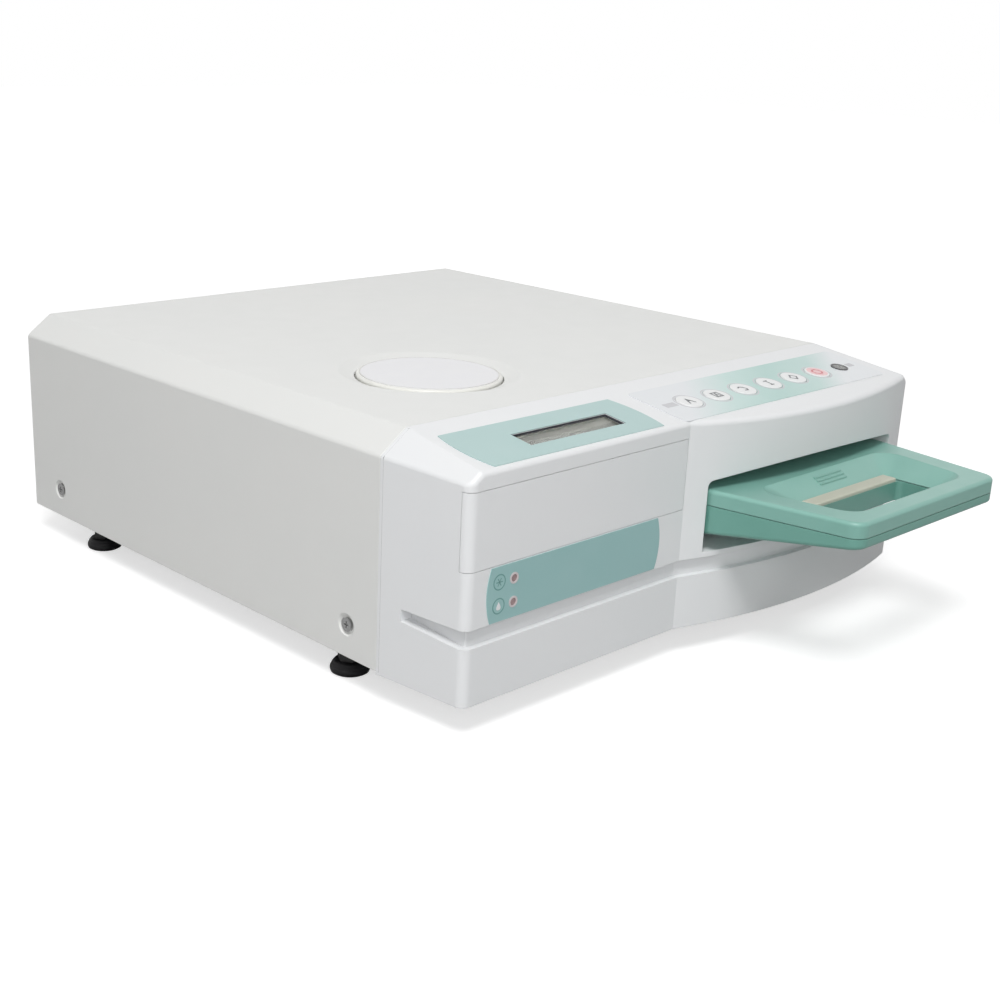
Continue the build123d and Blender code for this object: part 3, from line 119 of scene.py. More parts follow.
# the paper is lifted to white for the camera alone, and more so far out, where the lamp fades
rays = nodes.new("ShaderNodeLightPath")
spot = nodes.new("ShaderNodeTexCoord")
distance = nodes.new("ShaderNodeVectorMath")
distance.operation = "LENGTH"
links.new(spot.outputs["Object"], distance.inputs[0])
far_lift = nodes.new("ShaderNodeMapRange")
far_lift.inputs["From Min"].default_value = 0.7
far_lift.inputs["From Max"].default_value = 2.6
far_lift.inputs["To Min"].default_value = 0.62
far_lift.inputs["To Max"].default_value = 0.97
links.new(distance.outputs["Value"], far_lift.inputs["Value"])
lift = nodes.new("ShaderNodeMath")
lift.operation = "MULTIPLY"
links.new(far_lift.outputs["Result"], lift.inputs[1])
links.new(rays.outputs["Is Camera Ray"], lift.inputs[0])
paper.inputs["Emission Color"].default_value = (1, 1, 1, 1)
links.new(lift.outputs[0], paper.inputs["Emission Strength"])
floor_mesh.materials.append(floor_paper)

# Cover: one folded steel sheet over the top and both sides, powder coated in a warm white.
# The coat is faintly orange-peeled and slightly uneven in tone.


def node_material(name, colour, roughness, metallic=0.0):
    """A material with a Principled shader, and the object's own coordinates to drive its detail."""
    material = bpy.data.materials.new(name)
    material.use_nodes = True
    material.diffuse_color = (*colour, 1)
    shader = material.node_tree.nodes["Principled BSDF"]
    shader.inputs["Base Color"].default_value = (*colour, 1)
    shader.inputs["Roughness"].default_value = roughness
    shader.inputs["Metallic"].default_value = metallic
    place = material.node_tree.nodes.new("ShaderNodeTexCoord")
    place.name = "place"
    return material


def add_noise(material, scale, detail):
    """A noise texture in object space; scale is in bumps per metre."""
    tree = material.node_tree
    noise = tree.nodes.new("ShaderNodeTexNoise")
    noise.inputs["Scale"].default_value = scale
    noise.inputs["Detail"].default_value = detail
    tree.links.new(tree.nodes["place"].outputs["Object"], noise.inputs["Vector"])
    return noise


def grain(material, scale, depth, edge=0.0):
    """Raised surface grain of that depth in metres; edge rounds the sharp corners to that radius."""
    tree = material.node_tree
    noise = add_noise(material, scale, detail=3.0)
    bump = tree.nodes.new("ShaderNodeBump")
    bump.inputs["Distance"].default_value = depth
    bump.inputs["Strength"].default_value = 1.0
    tree.links.new(noise.outputs["Fac"], bump.inputs["Height"])
    if edge > 0:
        bevel = tree.nodes.new("ShaderNodeBevel")
        bevel.samples = 4
        bevel.inputs["Radius"].default_value = edge
        tree.links.new(bevel.outputs["Normal"], bump.inputs["Normal"])
    tree.links.new(bump.outputs["Normal"], tree.nodes["Principled BSDF"].inputs["Normal"])


# a noise texture seldom goes below the first value or above the second
noise_low = 0.3
noise_high = 0.7


def mottle(material, colour, other, scale):
    """The colour drifts between two close tones over the surface."""
    tree = material.node_tree
    noise = add_noise(material, scale, detail=4.0)
    ramp = tree.nodes.new("ShaderNodeValToRGB")
    ramp.color_ramp.elements[0].position = noise_low
    ramp.color_ramp.elements[1].position = noise_high
    ramp.color_ramp.elements[0].color = (*colour, 1)
    ramp.color_ramp.elements[1].color = (*other, 1)
    tree.links.new(noise.outputs["Fac"], ramp.inputs["Fac"])
    tree.links.new(ramp.outputs["Color"], tree.nodes["Principled BSDF"].inputs["Base Color"])


def sheen_spots(material, scale, low, high):
    """Roughness varies between two values, as handled surfaces do."""
    tree = material.node_tree
    noise = add_noise(material, scale, detail=5.0)
    spread = tree.nodes.new("ShaderNodeMapRange")
    spread.inputs["From Min"].default_value = noise_low
    spread.inputs["From Max"].default_value = noise_high
    spread.inputs["To Min"].default_value = low
    spread.inputs["To Max"].default_value = high
    tree.links.new(noise.outputs["Fac"], spread.inputs["Value"])
    tree.links.new(spread.outputs["Result"], tree.nodes["Principled BSDF"].inputs["Roughness"])


def dress(material, *names):
    """Gives CAD nodes their material."""
    for name in names:
        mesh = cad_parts[name].data
        mesh.materials.clear()
        mesh.materials.append(material)


powder_coat = node_material("powder_coat", (0.765, 0.770, 0.755), roughness=0.42)
grain(powder_coat, scale=1400, depth=0.00003, edge=0.0006)
mottle(powder_coat, (0.760, 0.767, 0.752), (0.772, 0.775, 0.758), scale=9)
sheen_spots(powder_coat, scale=60, low=0.38, high=0.46)
dress(powder_coat, "cover")

# Rear panel, base pan and bearers: the panel is plain steel sheet in a coat like the cover's.
# The pan and the cassette's two bearers are bare zinc-plated sheet with faint crystal patches.
panel_coat = node_material("panel_coat", (0.70, 0.70, 0.68), roughness=0.5)
grain(panel_coat, scale=1400, depth=0.00003, edge=0.0004)
mottle(panel_coat, (0.69, 0.69, 0.67), (0.71, 0.71, 0.69), scale=12)
dress(panel_coat, "rear_panel")
zinc_sheet = node_material("zinc_sheet", (0.55, 0.56, 0.57), roughness=0.4, metallic=0.9)
grain(zinc_sheet, scale=300, depth=0.00002)
mottle(zinc_sheet, (0.50, 0.51, 0.53), (0.60, 0.61, 0.62), scale=90)
sheen_spots(zinc_sheet, scale=140, low=0.32, high=0.5)
dress(zinc_sheet, "base_pan", "lower_bearer", "upper_bearer")

# Front moulding and the blank cover over the printer bay: injection-moulded plastic in a
# cooler white, with a very fine spark-eroded grain.
moulded_white = node_material("moulded_white", (0.79, 0.80, 0.81), roughness=0.38)
grain(moulded_white, scale=2600, depth=0.00002, edge=0.0005)
mottle(moulded_white, (0.785, 0.797, 0.808), (0.797, 0.805, 0.813), scale=11)
sheen_spots(moulded_white, scale=45, low=0.34, high=0.42)
dress(moulded_white, "fascia", "bay_cover")

# Display label: a printed film in pale teal on the sloping panel, cut out round the display.
# The print has a faint halftone unevenness under its satin film.
film_satin = 0.33
label_teal = node_material("label_teal", (0.405, 0.565, 0.55), roughness=film_satin)
grain(label_teal, scale=3000, depth=0.00001)
mottle(label_teal, (0.40, 0.562, 0.548), (0.414, 0.572, 0.558), scale=40)
sheen_spots(label_teal, scale=80, low=0.28, high=0.38)
dress(label_teal, "display_label")

# Liquid crystal display: a clear window sunk in the panel inside a black gasket, with the
# grey glass of the display just below it.


def set_sockets(material, values):
    """Sets more of the Principled shader's own values, by the names of their sockets."""
    shader = material.node_tree.nodes["Principled BSDF"]
    for socket, value in values.items():
        shader.inputs[socket].default_value = value


window_clear = node_material("window_clear", (0.85, 0.87, 0.85), roughness=0.08)
set_sockets(window_clear, {"Transmission Weight": 1.0, "IOR": 1.2})
grain(window_clear, scale=500, depth=0.000004)
dress(window_clear, "lcd_lens")
display_face = node_material("display_face", (0.42, 0.42, 0.38), roughness=0.25)
grain(display_face, scale=4000, depth=0.000008)
mottle(display_face, (0.405, 0.405, 0.365), (0.435, 0.435, 0.40), scale=70)
dress(display_face, "lcd_module")

slope = radians(8.5)
panel_out = Vector((0, -sin(slope), cos(slope)))
panel_up = Vector((0, cos(slope), sin(slope)))
panel_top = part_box("cover")[1].z
seam_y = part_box("fascia")[1].y


def on_panel(x, along, lift=0.0):
    """The place on the sloping panel at x and at a distance below its top edge, raised by lift."""
    return Vector((x, seam_y, panel_top)) - panel_up * along + panel_out * lift


def new_piece(name, mesh, material, body):
    """A finished mesh as a piece of the model on one body."""
    piece = bpy.data.objects.new(name, mesh)
    bpy.context.collection.objects.link(piece)
    mesh.materials.append(material)
    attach(piece, body)
    return piece


def solid_from(name, outline, holes, origin, across, upward, depth, material, body):
    """A flat piece cut to an outline with holes, standing depth thick from a plane."""
    facing = across.cross(upward)
    curve = bpy.data.curves.new(name, "CURVE")
    curve.dimensions = "2D"
    curve.fill_mode = "BOTH"
    curve.extrude = depth / 2
    for ring in [outline, *holes]:
        spline = curve.splines.new("POLY")
        spline.points.add(len(ring) - 1)
        for point, (u, v) in zip(spline.points, ring):
            point.co = (u, v, 0, 1)
        spline.use_cyclic_u = True
    shaped = bpy.data.objects.new(name, curve)
    bpy.context.collection.objects.link(shaped)
    bpy.context.view_layer.update()
    mesh = bpy.data.meshes.new_from_object(shaped)
    bpy.data.objects.remove(shaped)
    stand = Matrix((across, upward, facing)).transposed().to_4x4()
    stand.translation = origin + facing * depth / 2
    mesh.transform(stand)
    mesh.name = name
    new_piece(name, mesh, material, body)


def round_corners(width, height, radius, steps=6):
    """Outline of a rectangle with rounded corners, centred on nought."""
    ring = []
    for i, (sx, sy) in enumerate([(1, 1), (-1, 1), (-1, -1), (1, -1)]):
        centre_x = sx * (width / 2 - radius)
        centre_y = sy * (height / 2 - radius)
        for k in range(steps + 1):
            angle = pi / 2 * (i + k / steps)
            ring.append((centre_x + radius * cos(angle), centre_y + radius * sin(angle)))
    return ring


right = Vector((1, 0, 0))
black_gasket = node_material("black_gasket", (0.05, 0.052, 0.062), roughness=0.5)
grain(black_gasket, scale=2500, depth=0.00001)
lens_low, lens_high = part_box("lcd_lens")
lens_x = (lens_low.x + lens_high.x) / 2
lens_along = (seam_y - (lens_low.y + lens_high.y) / 2) / cos(slope)
window_width = lens_high.x - lens_low.x
window_length = (lens_high.y - lens_low.y) / cos(slope)
gasket_wall = 0.0007
gasket_sunk = 0.0015
gasket_tall = 0.0012
gasket_corner = 0.0006
gasket_inner_corner = 0.0004
inner_width = window_width - 2 * gasket_wall
inner_length = window_length - 2 * gasket_wall
solid_from("window_gasket", round_corners(window_width, window_length, gasket_corner),
           [round_corners(inner_width, inner_length, gasket_inner_corner)],
           on_panel(lens_x, lens_along, -gasket_sunk), right, panel_up, gasket_tall,
           black_gasket, "casing")

# Key panel: one printed film on the sloping panel. It shades from cool white at the left and
# right ends to pale green between them.
film_low, film_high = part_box("keypad_overlay")
key_film = node_material("key_film", (0.80, 0.82, 0.82), roughness=film_satin)
tree = key_film.node_tree
grain(key_film, scale=3000, depth=0.00001)
sheen_spots(key_film, scale=80, low=0.28, high=0.38)
axes = tree.nodes.new("ShaderNodeSeparateXYZ")
tree.links.new(tree.nodes["place"].outputs["Object"], axes.inputs["Vector"])
# the green band leans: it lies further right at the back of the panel than at the front
lean = 1.0
lean_back = tree.nodes.new("ShaderNodeMath")
lean_back.operation = "MULTIPLY_ADD"
lean_back.inputs[1].default_value = -lean
tree.links.new(axes.outputs["Y"], lean_back.inputs[0])
tree.links.new(axes.outputs["X"], lean_back.inputs[2])
across_film = tree.nodes.new("ShaderNodeMapRange")
middle_y = (film_low.y + film_high.y) / 2
across_film.inputs["From Min"].default_value = film_low.x - lean * middle_y
across_film.inputs["From Max"].default_value = film_high.x - lean * middle_y
tree.links.new(lean_back.outputs[0], across_film.inputs["Value"])
# each tone stands at its share of the way from the film's left end to its right end
tones = [(0.14, (0.74, 0.76, 0.78)), (0.34, (0.53, 0.69, 0.66)), (0.54, (0.42, 0.615, 0.575)),
         (0.76, (0.50, 0.66, 0.63)), (0.90, (0.76, 0.78, 0.80))]
shading = tree.nodes.new("ShaderNodeValToRGB")
while len(shading.color_ramp.elements) < len(tones):
    shading.color_ramp.elements.new(0.5)
for stop, (position, tone) in zip(shading.color_ramp.elements, tones):
    stop.position = position
    stop.color = (*tone, 1)
tree.links.new(across_film.outputs["Result"], shading.inputs["Fac"])
tree.links.new(shading.outputs["Color"], tree.nodes["Principled BSDF"].inputs["Base Color"])
dress(key_film, "keypad_overlay")

# Keys: six round white moulded discs standing a little proud of the film, each with a small
# printed sign for its programme. The last one stops the machine and has a pale red disc.
key_white = node_material("key_white", (0.80, 0.81, 0.81), roughness=0.3)
grain(key_white, scale=1800, depth=0.00001, edge=0.0003)
mottle(key_white, (0.795, 0.805, 0.805), (0.81, 0.815, 0.815), scale=120)
stop_disc = node_material("stop_disc", (0.82, 0.53, 0.54), roughness=0.3)
grain(stop_disc, scale=1800, depth=0.00001)
mottle(stop_disc, (0.81, 0.52, 0.53), (0.83, 0.55, 0.56), scale=120)
sign_ink = node_material("sign_ink", (0.16, 0.17, 0.18), roughness=0.4)
mottle(sign_ink, (0.15, 0.16, 0.17), (0.18, 0.19, 0.20), scale=400)
stop_ink = node_material("stop_ink", (0.72, 0.22, 0.24), roughness=0.4)
mottle(stop_ink, (0.71, 0.21, 0.23), (0.74, 0.24, 0.26), scale=400)

# how thick a print is
ink = 0.00004
mm = 0.001


def circle(radius, steps=48):
    """Outline of a circle, centred on nought."""
    angles = [2 * pi * i / steps for i in range(steps)]
    return [(radius * cos(angle), radius * sin(angle)) for angle in angles]


def strokes(name, lines, width, origin, across, upward, material, body):
    """A printed sign of straight strokes, each a thin raised bar; points are in millimetres."""
    facing = across.cross(upward)
    drawn = bmesh.new()
    for line in lines:
        for start, end in zip(line, line[1:]):
            a, b = Vector(start) * mm, Vector(end) * mm
            side = Vector((a.y - b.y, b.x - a.x)).normalized() * width * mm / 2
            along = (b - a).normalized() * width * mm / 2
            ring = [a - along - side, b + along - side, b + along + side, a - along + side]
            places = [origin + across * p.x + upward * p.y + facing * ink for p in ring]
            drawn.faces.new([drawn.verts.new(place) for place in places])
    mesh = bpy.data.meshes.new(name)
    drawn.to_mesh(mesh)
    drawn.free()
    new_piece(name, mesh, material, body)


# a ridge, a pack, a loop, a bar, a lozenge and the octagon of the stop key
signs = [
    [[(-2.6, -3), (0, 3), (2.6, -3)], [(-1.2, 0.2), (1.2, 0.2)]],
    [[(-3, -3), (3, -3), (3, 3), (-3, 3), (-3, -3)], [(-1.5, -1.8), (0, 1.8), (1.5, -1.8)]],
    [[(-3, 2), (-1, 3), (1.4, 1.6), (2.4, -1), (1.2, -3), (-1, -2.6)]],
    [[(0, -3.2), (0, 3.2)], [(-1.3, 3.2), (1.3, 3.2)], [(-1.3, -3.2), (1.3, -3.2)]],
    [[(0, -3.4), (3.4, 0), (0, 3.4), (-3.4, 0), (0, -3.4)]],
    [[(-1.5, -3.4), (1.5, -3.4), (3.4, -1.5), (3.4, 1.5), (1.5, 3.4), (-1.5, 3.4), (-3.4, 1.5),
      (-3.4, -1.5), (-1.5, -3.4)]],
]
sign_stroke = 1.1
disc_share = 0.84
key_round = 0.0006
for number, sign in enumerate(signs, start=1):
    key_low, key_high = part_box(f"key_{number}")
    body = f"key_{number}"
    stops = number == len(signs)
    dress(key_white, body)
    key_radius = (key_high.x - key_low.x) / 2
    middle = (key_low + key_high) / 2
    along = (seam_y - middle.y) / cos(slope)
    # the top of the box is the highest point of the rounded rim, above the middle of the face
    reach_up = (key_radius - key_round) * sin(slope) + key_round * (1 - cos(slope))
    panel_z = panel_top - (seam_y - middle.y) * tan(slope)
    lift = (key_high.z - reach_up - panel_z) * cos(slope)
    face = on_panel(middle.x, along, lift)
    if stops:
        solid_from(f"key_{number}_disc", circle(key_radius * disc_share), [],
                   face, right, panel_up, ink, stop_disc, body)
    strokes(f"key_{number}_sign", sign, sign_stroke, face + panel_out * ink, right, panel_up,
            stop_ink if stops else sign_ink, body)

# Printed marks beside the keys, in grey ink on the film: a block before the first key, a ring
# round each key and a short bar beside the level.
ring_ink = node_material("ring_ink", (0.56, 0.56, 0.58), roughness=0.4)
mottle(ring_ink, (0.55, 0.55, 0.57), (0.58, 0.58, 0.60), scale=400)
film_lift = 0.0004
# the keys stand in one row, so the last one's distance from the panel's top edge is that of all
key_along = along
ring_outer = 0.0106
ring_inner = 0.0096
for number in range(1, len(signs) + 1):
    key_low, key_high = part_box(f"key_{number}")
    solid_from(f"film_ring_{number}", circle(ring_outer), [circle(ring_inner)],
               on_panel((key_low.x + key_high.x) / 2, key_along, film_lift),
               right, panel_up, ink, ring_ink, "casing")
first_x = (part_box("key_1")[0].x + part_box("key_1")[1].x) / 2
block_outline = round_corners(width=0.011, height=0.0055, radius=0.0004)
block_left = 0.0172
block_back = 0.001
solid_from("film_block", block_outline, [],
           on_panel(first_x - block_left, key_along - block_back, film_lift),
           right, panel_up, ink, ring_ink, "casing")
level_low, level_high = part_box("level_cup")
level_x = (level_low.x + level_high.x) / 2
bar_outline = round_corners(width=0.007, height=0.005, radius=0.0008)
bar_right = 0.0125
solid_from("film_bar", bar_outline, [], on_panel(level_x + bar_right, key_along, film_lift),
           right, panel_up, ink, ring_ink, "casing")

# Joint between the cover and the front moulding: a thin dark grey strip in the groove at the cover's edge,
# painted shade that stands for the shadow in the joint. It shows as a fine line down each side and over the
# chamfer.
seam_shade = node_material("seam_shade", (0.10, 0.105, 0.105), roughness=0.5)
mottle(seam_shade, (0.09, 0.095, 0.095), (0.12, 0.125, 0.125), scale=300)
cover_low, cover_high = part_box("cover")
# it lies a touch below the faces beside it, and its back edge is hidden in the cover's sheet
strip_sunk = 0.0001
strip_thick = 0.0005
strip_hidden = 0.0006
strip_wide = cover_low.y - seam_y + strip_hidden
cover_chamfer = Vector((0.0184, 0.0135))
strip_out = cover_high.x - strip_sunk
strip_top = cover_high.z - strip_sunk
bend_x = strip_out - cover_chamfer.x
bend_z = strip_top - cover_chamfer.y
strip_line = [(strip_out, cover_low.z), (strip_out, bend_z), (bend_x, strip_top), (bend_x, strip_top - strip_thick),
            (strip_out - strip_thick, bend_z), (strip_out - strip_thick, cover_low.z)]
# the strip on each side is painted shade, drawing the joint's shadow line
for name, side in (("left", -1), ("right", 1)):
    solid_from(f"seam_shade_strip_{name}", [(side * x, z) for x, z in strip_line], [],
               Vector((0, seam_y + strip_wide, 0)), right, Vector((0, 0, 1)), strip_wide,
               seam_shade, "casing")

# Bubble level: a black moulded cup let into the panel, with a clear round vial in it. A fine
# grey ring just under the vial's face marks its middle.
level_black = node_material("level_black", (0.02, 0.02, 0.022), roughness=0.3)
grain(level_black, scale=1500, depth=0.00001)
mottle(level_black, (0.018, 0.018, 0.02), (0.03, 0.03, 0.032), scale=200)
dress(level_black, "level_cup")
vial_clear = node_material("vial_clear", (0.25, 0.27, 0.24), roughness=0.06)
set_sockets(vial_clear, {"Transmission Weight": 0.6, "Coat Weight": 0.5})
mottle(vial_clear, (0.10, 0.11, 0.09), (0.14, 0.15, 0.12), scale=300)
dress(vial_clear, "level_vial")
level_ring = node_material("level_ring", (0.35, 0.35, 0.34), roughness=0.35)
mottle(level_ring, (0.33, 0.33, 0.32), (0.37, 0.37, 0.36), scale=300)
level_lift = 0.0008
level_sunk = 0.00008
level_outer = 0.0017
level_inner = 0.0014
solid_from("level_circle", circle(level_outer), [circle(level_inner)],
           on_panel(level_x, key_along, level_lift - level_sunk),
           right, panel_up, ink, level_ring, "casing")

# Indicator label on the front: a printed film in a deeper teal, with two lamps through it and
# a round sign printed beside each lamp.
label_deep = node_material("label_deep", (0.305, 0.508, 0.503), roughness=film_satin)
grain(label_deep, scale=3000, depth=0.00001)
mottle(label_deep, (0.300, 0.505, 0.500), (0.316, 0.515, 0.511), scale=40)
sheen_spots(label_deep, scale=80, low=0.28, high=0.38)
dress(label_deep, "indicator_label")
lamp_clear = node_material("lamp_clear", (0.30, 0.20, 0.20), roughness=0.12)
set_sockets(lamp_clear, {"Coat Weight": 0.6})
mottle(lamp_clear, (0.26, 0.17, 0.17), (0.36, 0.25, 0.25), scale=300)
dress(lamp_clear, "indicator_lamps")
sign_teal = node_material("sign_teal", (0.13, 0.30, 0.28), roughness=0.4)
mottle(sign_teal, (0.12, 0.29, 0.27), (0.15, 0.32, 0.30), scale=400)
lamp_collar = node_material("lamp_collar", (0.62, 0.56, 0.57), roughness=0.35)
mottle(lamp_collar, (0.60, 0.54, 0.55), (0.64, 0.58, 0.59), scale=300)
lamp_low, lamp_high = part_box("indicator_lamps")
lamp_x = (lamp_low.x + lamp_high.x) / 2
face_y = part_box("indicator_label")[0].y
front_up = Vector((0, 0, 1))
lamp_inset = 0.0029
lamp_radius = 0.0022
collar_width = 0.0011
collar_thick = 0.0003
round_sign_left = 0.0113
round_sign_outer = 0.0047
round_sign_inner = 0.0040
# the upper sign is a star of six arms, and its sizes are in millimetres
star_arm = 2.2
star_stroke = 0.6
star = [[(star_arm * cos(pi * k / 3), star_arm * sin(pi * k / 3)), (0, 0)] for k in range(6)]
# the lower sign is a drop: a circle that narrows towards its top
drop_wide = 0.0018
drop_tall = 0.0024
drop_taper = 1.25
drop_squeeze = 1.6
drop_ink = ink * 1.5
drop_angles = [2 * pi * k / 24 for k in range(24)]
drop = [(drop_wide * sin(a) * (drop_taper - cos(a)) / drop_squeeze, drop_tall * cos(a)) for a in drop_angles]
for name, lamp_z in (("upper", lamp_high.z - lamp_inset), ("lower", lamp_low.z + lamp_inset)):
    solid_from(f"lamp_collar_{name}", circle(lamp_radius + collar_width), [circle(lamp_radius)],
               Vector((lamp_x, face_y, lamp_z)), right, front_up, collar_thick, lamp_collar, "casing")
    sign_at = Vector((lamp_x - round_sign_left, face_y, lamp_z))
    solid_from(f"lamp_sign_{name}", circle(round_sign_outer), [circle(round_sign_inner)],
               sign_at, right, front_up, ink, sign_teal, "casing")
    if name == "upper":
        strokes("lamp_sign_upper_mark", star, star_stroke, sign_at, right, front_up, sign_teal, "casing")
    else:
        solid_from("lamp_sign_lower_mark", drop, [], sign_at, right, front_up, drop_ink,
                   moulded_white, "casing")

# Filler cap: a round white cap in the dished seat of the cover, with a satin printed disc let
# into its top inside a faint cream rim.
cap_white = node_material("cap_white", (0.78, 0.78, 0.74), roughness=0.35)
grain(cap_white, scale=1800, depth=0.00002, edge=0.0006)
mottle(cap_white, (0.775, 0.775, 0.735), (0.79, 0.788, 0.75), scale=30)
dress(cap_white, "reservoir_cap")
disc_film = node_material("disc_film", (0.77, 0.77, 0.79), roughness=0.25)
grain(disc_film, scale=3000, depth=0.00001)
mottle(disc_film, (0.765, 0.765, 0.788), (0.78, 0.78, 0.795), scale=50)
cap_print = node_material("cap_print", (0.58, 0.58, 0.55), roughness=0.35)
mottle(cap_print, (0.57, 0.57, 0.54), (0.60, 0.60, 0.57), scale=300)
cap_low, cap_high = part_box("reservoir_cap")
cap_centre = Vector(((cap_low.x + cap_high.x) / 2, (cap_low.y + cap_high.y) / 2, cap_high.z))
cap_radius = (cap_high.x - cap_low.x) / 2
back_way = Vector((0, 1, 0))
# a printed line runs round the disc; both of its edges are measured in from the cap's own edge
line_starts = 0.0022
line_ends = 0.0029
disc_thick = 0.0003
disc_outline = circle(cap_radius - line_starts, steps=96)
solid_from("cap_disc", disc_outline, [], cap_centre, right, back_way, disc_thick,
           disc_film, "reservoir_cap")
solid_from("cap_ring", disc_outline, [circle(cap_radius - line_ends, steps=96)],
           cap_centre + Vector((0, 0, disc_thick)), right, back_way, ink, cap_print, "reservoir_cap")

# Cassette: the tray, lid and rack are bright stainless, the gasket is grey silicone, and the handle is two
# green mouldings with a beige bar across its loop. Their greens are lit and shaded copies of one green: the
# upper one is painted paler as painted sheen on its top, and the lower one is painted deeper as painted
# shade on its front and sides.


def handle_green(name, colour, darker, paler):
    """A satin green plastic under a soft clear gloss."""
    green = node_material(name, colour, roughness=0.48)
    grain(green, scale=1600, depth=0.00003, edge=0.0010)
    mottle(green, darker, paler, scale=25)
    sheen_spots(green, scale=70, low=0.44, high=0.54)
    set_sockets(green, {"Coat Weight": 0.8, "Coat Roughness": 0.42})
    return green


# the upper moulding's green is painted paler for the sheen on its top, the lower one's deeper for the shade
# on its front and sides
handle_lit_green = handle_green("handle_lit_green", (0.195, 0.410, 0.352),
                           darker=(0.187, 0.402, 0.343), paler=(0.203, 0.418, 0.361))
handle_shaded_green = handle_green("handle_shaded_green", (0.130, 0.328, 0.272),
                           darker=(0.124, 0.320, 0.264), paler=(0.136, 0.335, 0.280))
dress(handle_lit_green, "lid_handle")
dress(handle_shaded_green, "tray_handle")
bar_beige = node_material("bar_beige", (0.53, 0.53, 0.44), roughness=0.5)
grain(bar_beige, scale=1500, depth=0.00003, edge=0.0006)
mottle(bar_beige, (0.52, 0.52, 0.43), (0.56, 0.555, 0.465), scale=60)
dress(bar_beige, "handle_bar")
stainless = node_material("stainless", (0.66, 0.67, 0.68), roughness=0.25, metallic=1.0)
grain(stainless, scale=120, depth=0.000012, edge=0.0004)
sheen_spots(stainless, scale=60, low=0.24, high=0.30)
dress(stainless, "cassette_tray", "cassette_lid", "mesh_rack")
# the cap's seal and the soft tubes inside are of the gasket's silicone
silicone = node_material("silicone", (0.45, 0.46, 0.45), roughness=0.6)
grain(silicone, scale=900, depth=0.00002)
mottle(silicone, (0.43, 0.44, 0.43), (0.48, 0.49, 0.48), scale=80)
dress(silicone, "cassette_gasket", "cap_seal", "steam_tubes")

# Feet: each is a moulded black rubber disc with stepped rings, round a black-plated stud that
# screws into the base pan.
foot_rubber = node_material("foot_rubber", (0.008, 0.008, 0.009), roughness=0.5)
set_sockets(foot_rubber, {"Specular IOR Level": 0.25})
grain(foot_rubber, scale=1200, depth=0.00003, edge=0.0004)
mottle(foot_rubber, (0.006, 0.006, 0.007), (0.012, 0.012, 0.013), scale=150)
stud_black = node_material("stud_black", (0.03, 0.03, 0.03), roughness=0.4, metallic=0.6)
grain(stud_black, scale=900, depth=0.00002)
mottle(stud_black, (0.025, 0.025, 0.025), (0.045, 0.045, 0.045), scale=200)
foot_profile = [(4.02, 0.3), (10.4, 0), (11.8, 0.8), (12.25, 2.2), (12.2, 3.5), (11.8, 4.3),
                (11.2, 4.6), (11.4, 5.2), (11.0, 6.0), (10.3, 6.3), (10.3, 6.9), (9.7, 7.6),
                (8.8, 8.0), (4.02, 8.0)]


def turned(name, profile, centre, material, body, steps=64):
    """A solid of revolution about an upright line; the profile is (radius, height) in millimetres."""
    shape = bmesh.new()
    rings = []
    for radius, height in profile:
        rings.append([shape.verts.new((centre.x + radius * mm * cos(2 * pi * i / steps),
                                       centre.y + radius * mm * sin(2 * pi * i / steps),
                                       centre.z + height * mm)) for i in range(steps)])
    for ring, following in zip(rings, rings[1:] + rings[:1]):
        for i in range(steps):
            k = (i + 1) % steps
            shape.faces.new((ring[i], ring[k], following[k], following[i]))
    for face in shape.faces:
        face.smooth = True
    bmesh.ops.recalc_face_normals(shape, faces=shape.faces)
    mesh = bpy.data.meshes.new(name)
    shape.to_mesh(mesh)
    shape.free()
    return new_piece(name, mesh, material, body)


for corner in ("front_left", "front_right", "rear_left", "rear_right"):
    pad_low, pad_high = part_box(f"foot_pad_{corner}")
    foot_centre = Vector(((pad_low.x + pad_high.x) / 2, (pad_low.y + pad_high.y) / 2, 0))
    foot = turned(f"foot_{corner}", foot_profile, foot_centre, foot_rubber, f"foot_pad_{corner}")
    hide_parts(f"foot_pad_{corner}")
    dress(stud_black, f"foot_stud_{corner}")

# Screws: bright plated steel. Two on each side sit in the dimples of the cover, and five hold
# the rear panel.
bright_screw = node_material("bright_screw", (0.46, 0.46, 0.46), roughness=0.14, metallic=1.0)
grain(bright_screw, scale=1500, depth=0.00001, edge=0.0003)
sheen_spots(bright_screw, scale=400, low=0.10, high=0.20)
dress(bright_screw, "side_screws", "rear_screws")

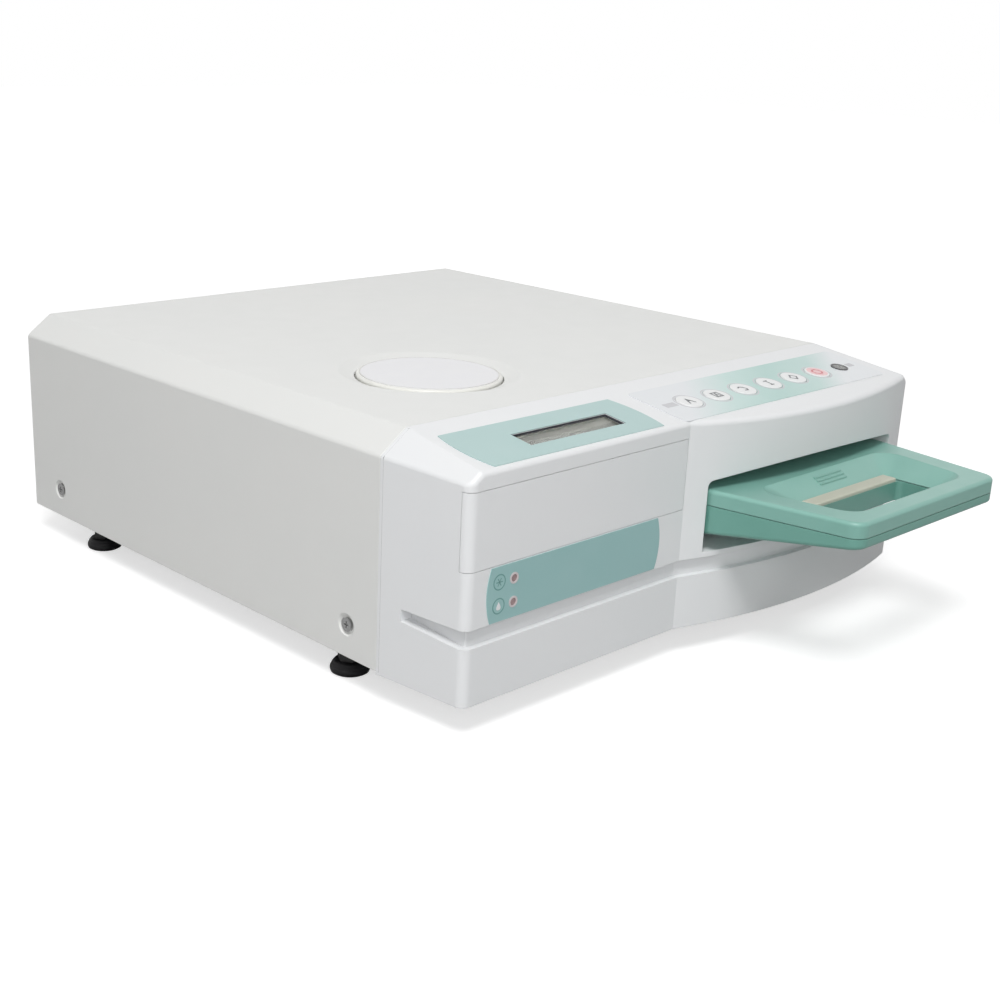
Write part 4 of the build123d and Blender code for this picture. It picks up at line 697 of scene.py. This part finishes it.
# Fan, guard, mains inlet and switch on the rear panel: black glass-filled mouldings, with a
# plated wire guard over the fan and plated pins in the inlet.
black_moulding = node_material("black_moulding", (0.018, 0.018, 0.019), roughness=0.4)
grain(black_moulding, scale=1500, depth=0.00003, edge=0.0004)
mottle(black_moulding, (0.015, 0.015, 0.016), (0.026, 0.026, 0.027), scale=150)
dress(black_moulding, "fan_frame", "fan_rotor", "power_inlet", "switch_frame", "power_switch")
guard_plating = node_material("guard_plating", (0.60, 0.61, 0.62), roughness=0.2, metallic=1.0)
grain(guard_plating, scale=700, depth=0.00001, edge=0.0005)
sheen_spots(guard_plating, scale=300, low=0.14, high=0.3)
dress(guard_plating, "fan_guard", "inlet_pins")

# Exhaust port: a push-in fitting turned from brass, set in the rear panel. The steam probes
# and the solenoid valve inside are of brass too.
turned_brass = node_material("turned_brass", (0.62, 0.47, 0.22), roughness=0.3, metallic=1.0)
grain(turned_brass, scale=800, depth=0.00001, edge=0.0004)
mottle(turned_brass, (0.60, 0.45, 0.20), (0.66, 0.51, 0.27), scale=200)
dress(turned_brass, "exhaust_fitting", "steam_probes", "solenoid_valve")

# Inner units, seen only through the openings: a milky moulded tank, two green boards, a cast
# alloy generator and probe block, dark pump, compressor and transformer, and a pale filter.
tank_milk = node_material("tank_milk", (0.74, 0.75, 0.72), roughness=0.4)
grain(tank_milk, scale=400, depth=0.00003)
mottle(tank_milk, (0.72, 0.73, 0.70), (0.76, 0.77, 0.74), scale=20)
dress(tank_milk, "reservoir_tank")
board_green = node_material("board_green", (0.05, 0.16, 0.08), roughness=0.35)
grain(board_green, scale=900, depth=0.00002)
mottle(board_green, (0.04, 0.14, 0.07), (0.06, 0.20, 0.10), scale=200)
dress(board_green, "keypad_board", "control_board")
cast_alloy = node_material("cast_alloy", (0.50, 0.50, 0.51), roughness=0.45, metallic=0.9)
grain(cast_alloy, scale=500, depth=0.00006)
mottle(cast_alloy, (0.46, 0.46, 0.47), (0.54, 0.54, 0.55), scale=120)
dress(cast_alloy, "probe_block", "steam_generator")
dark_units = node_material("dark_units", (0.06, 0.06, 0.065), roughness=0.45)
grain(dark_units, scale=700, depth=0.00004)
mottle(dark_units, (0.05, 0.05, 0.055), (0.08, 0.08, 0.085), scale=80)
dress(dark_units, "water_pump", "compressor", "transformer")
filter_shell = node_material("filter_shell", (0.62, 0.66, 0.68), roughness=0.3)
grain(filter_shell, scale=500, depth=0.00002)
mottle(filter_shell, (0.60, 0.64, 0.66), (0.65, 0.69, 0.71), scale=90)
dress(filter_shell, "air_filter")
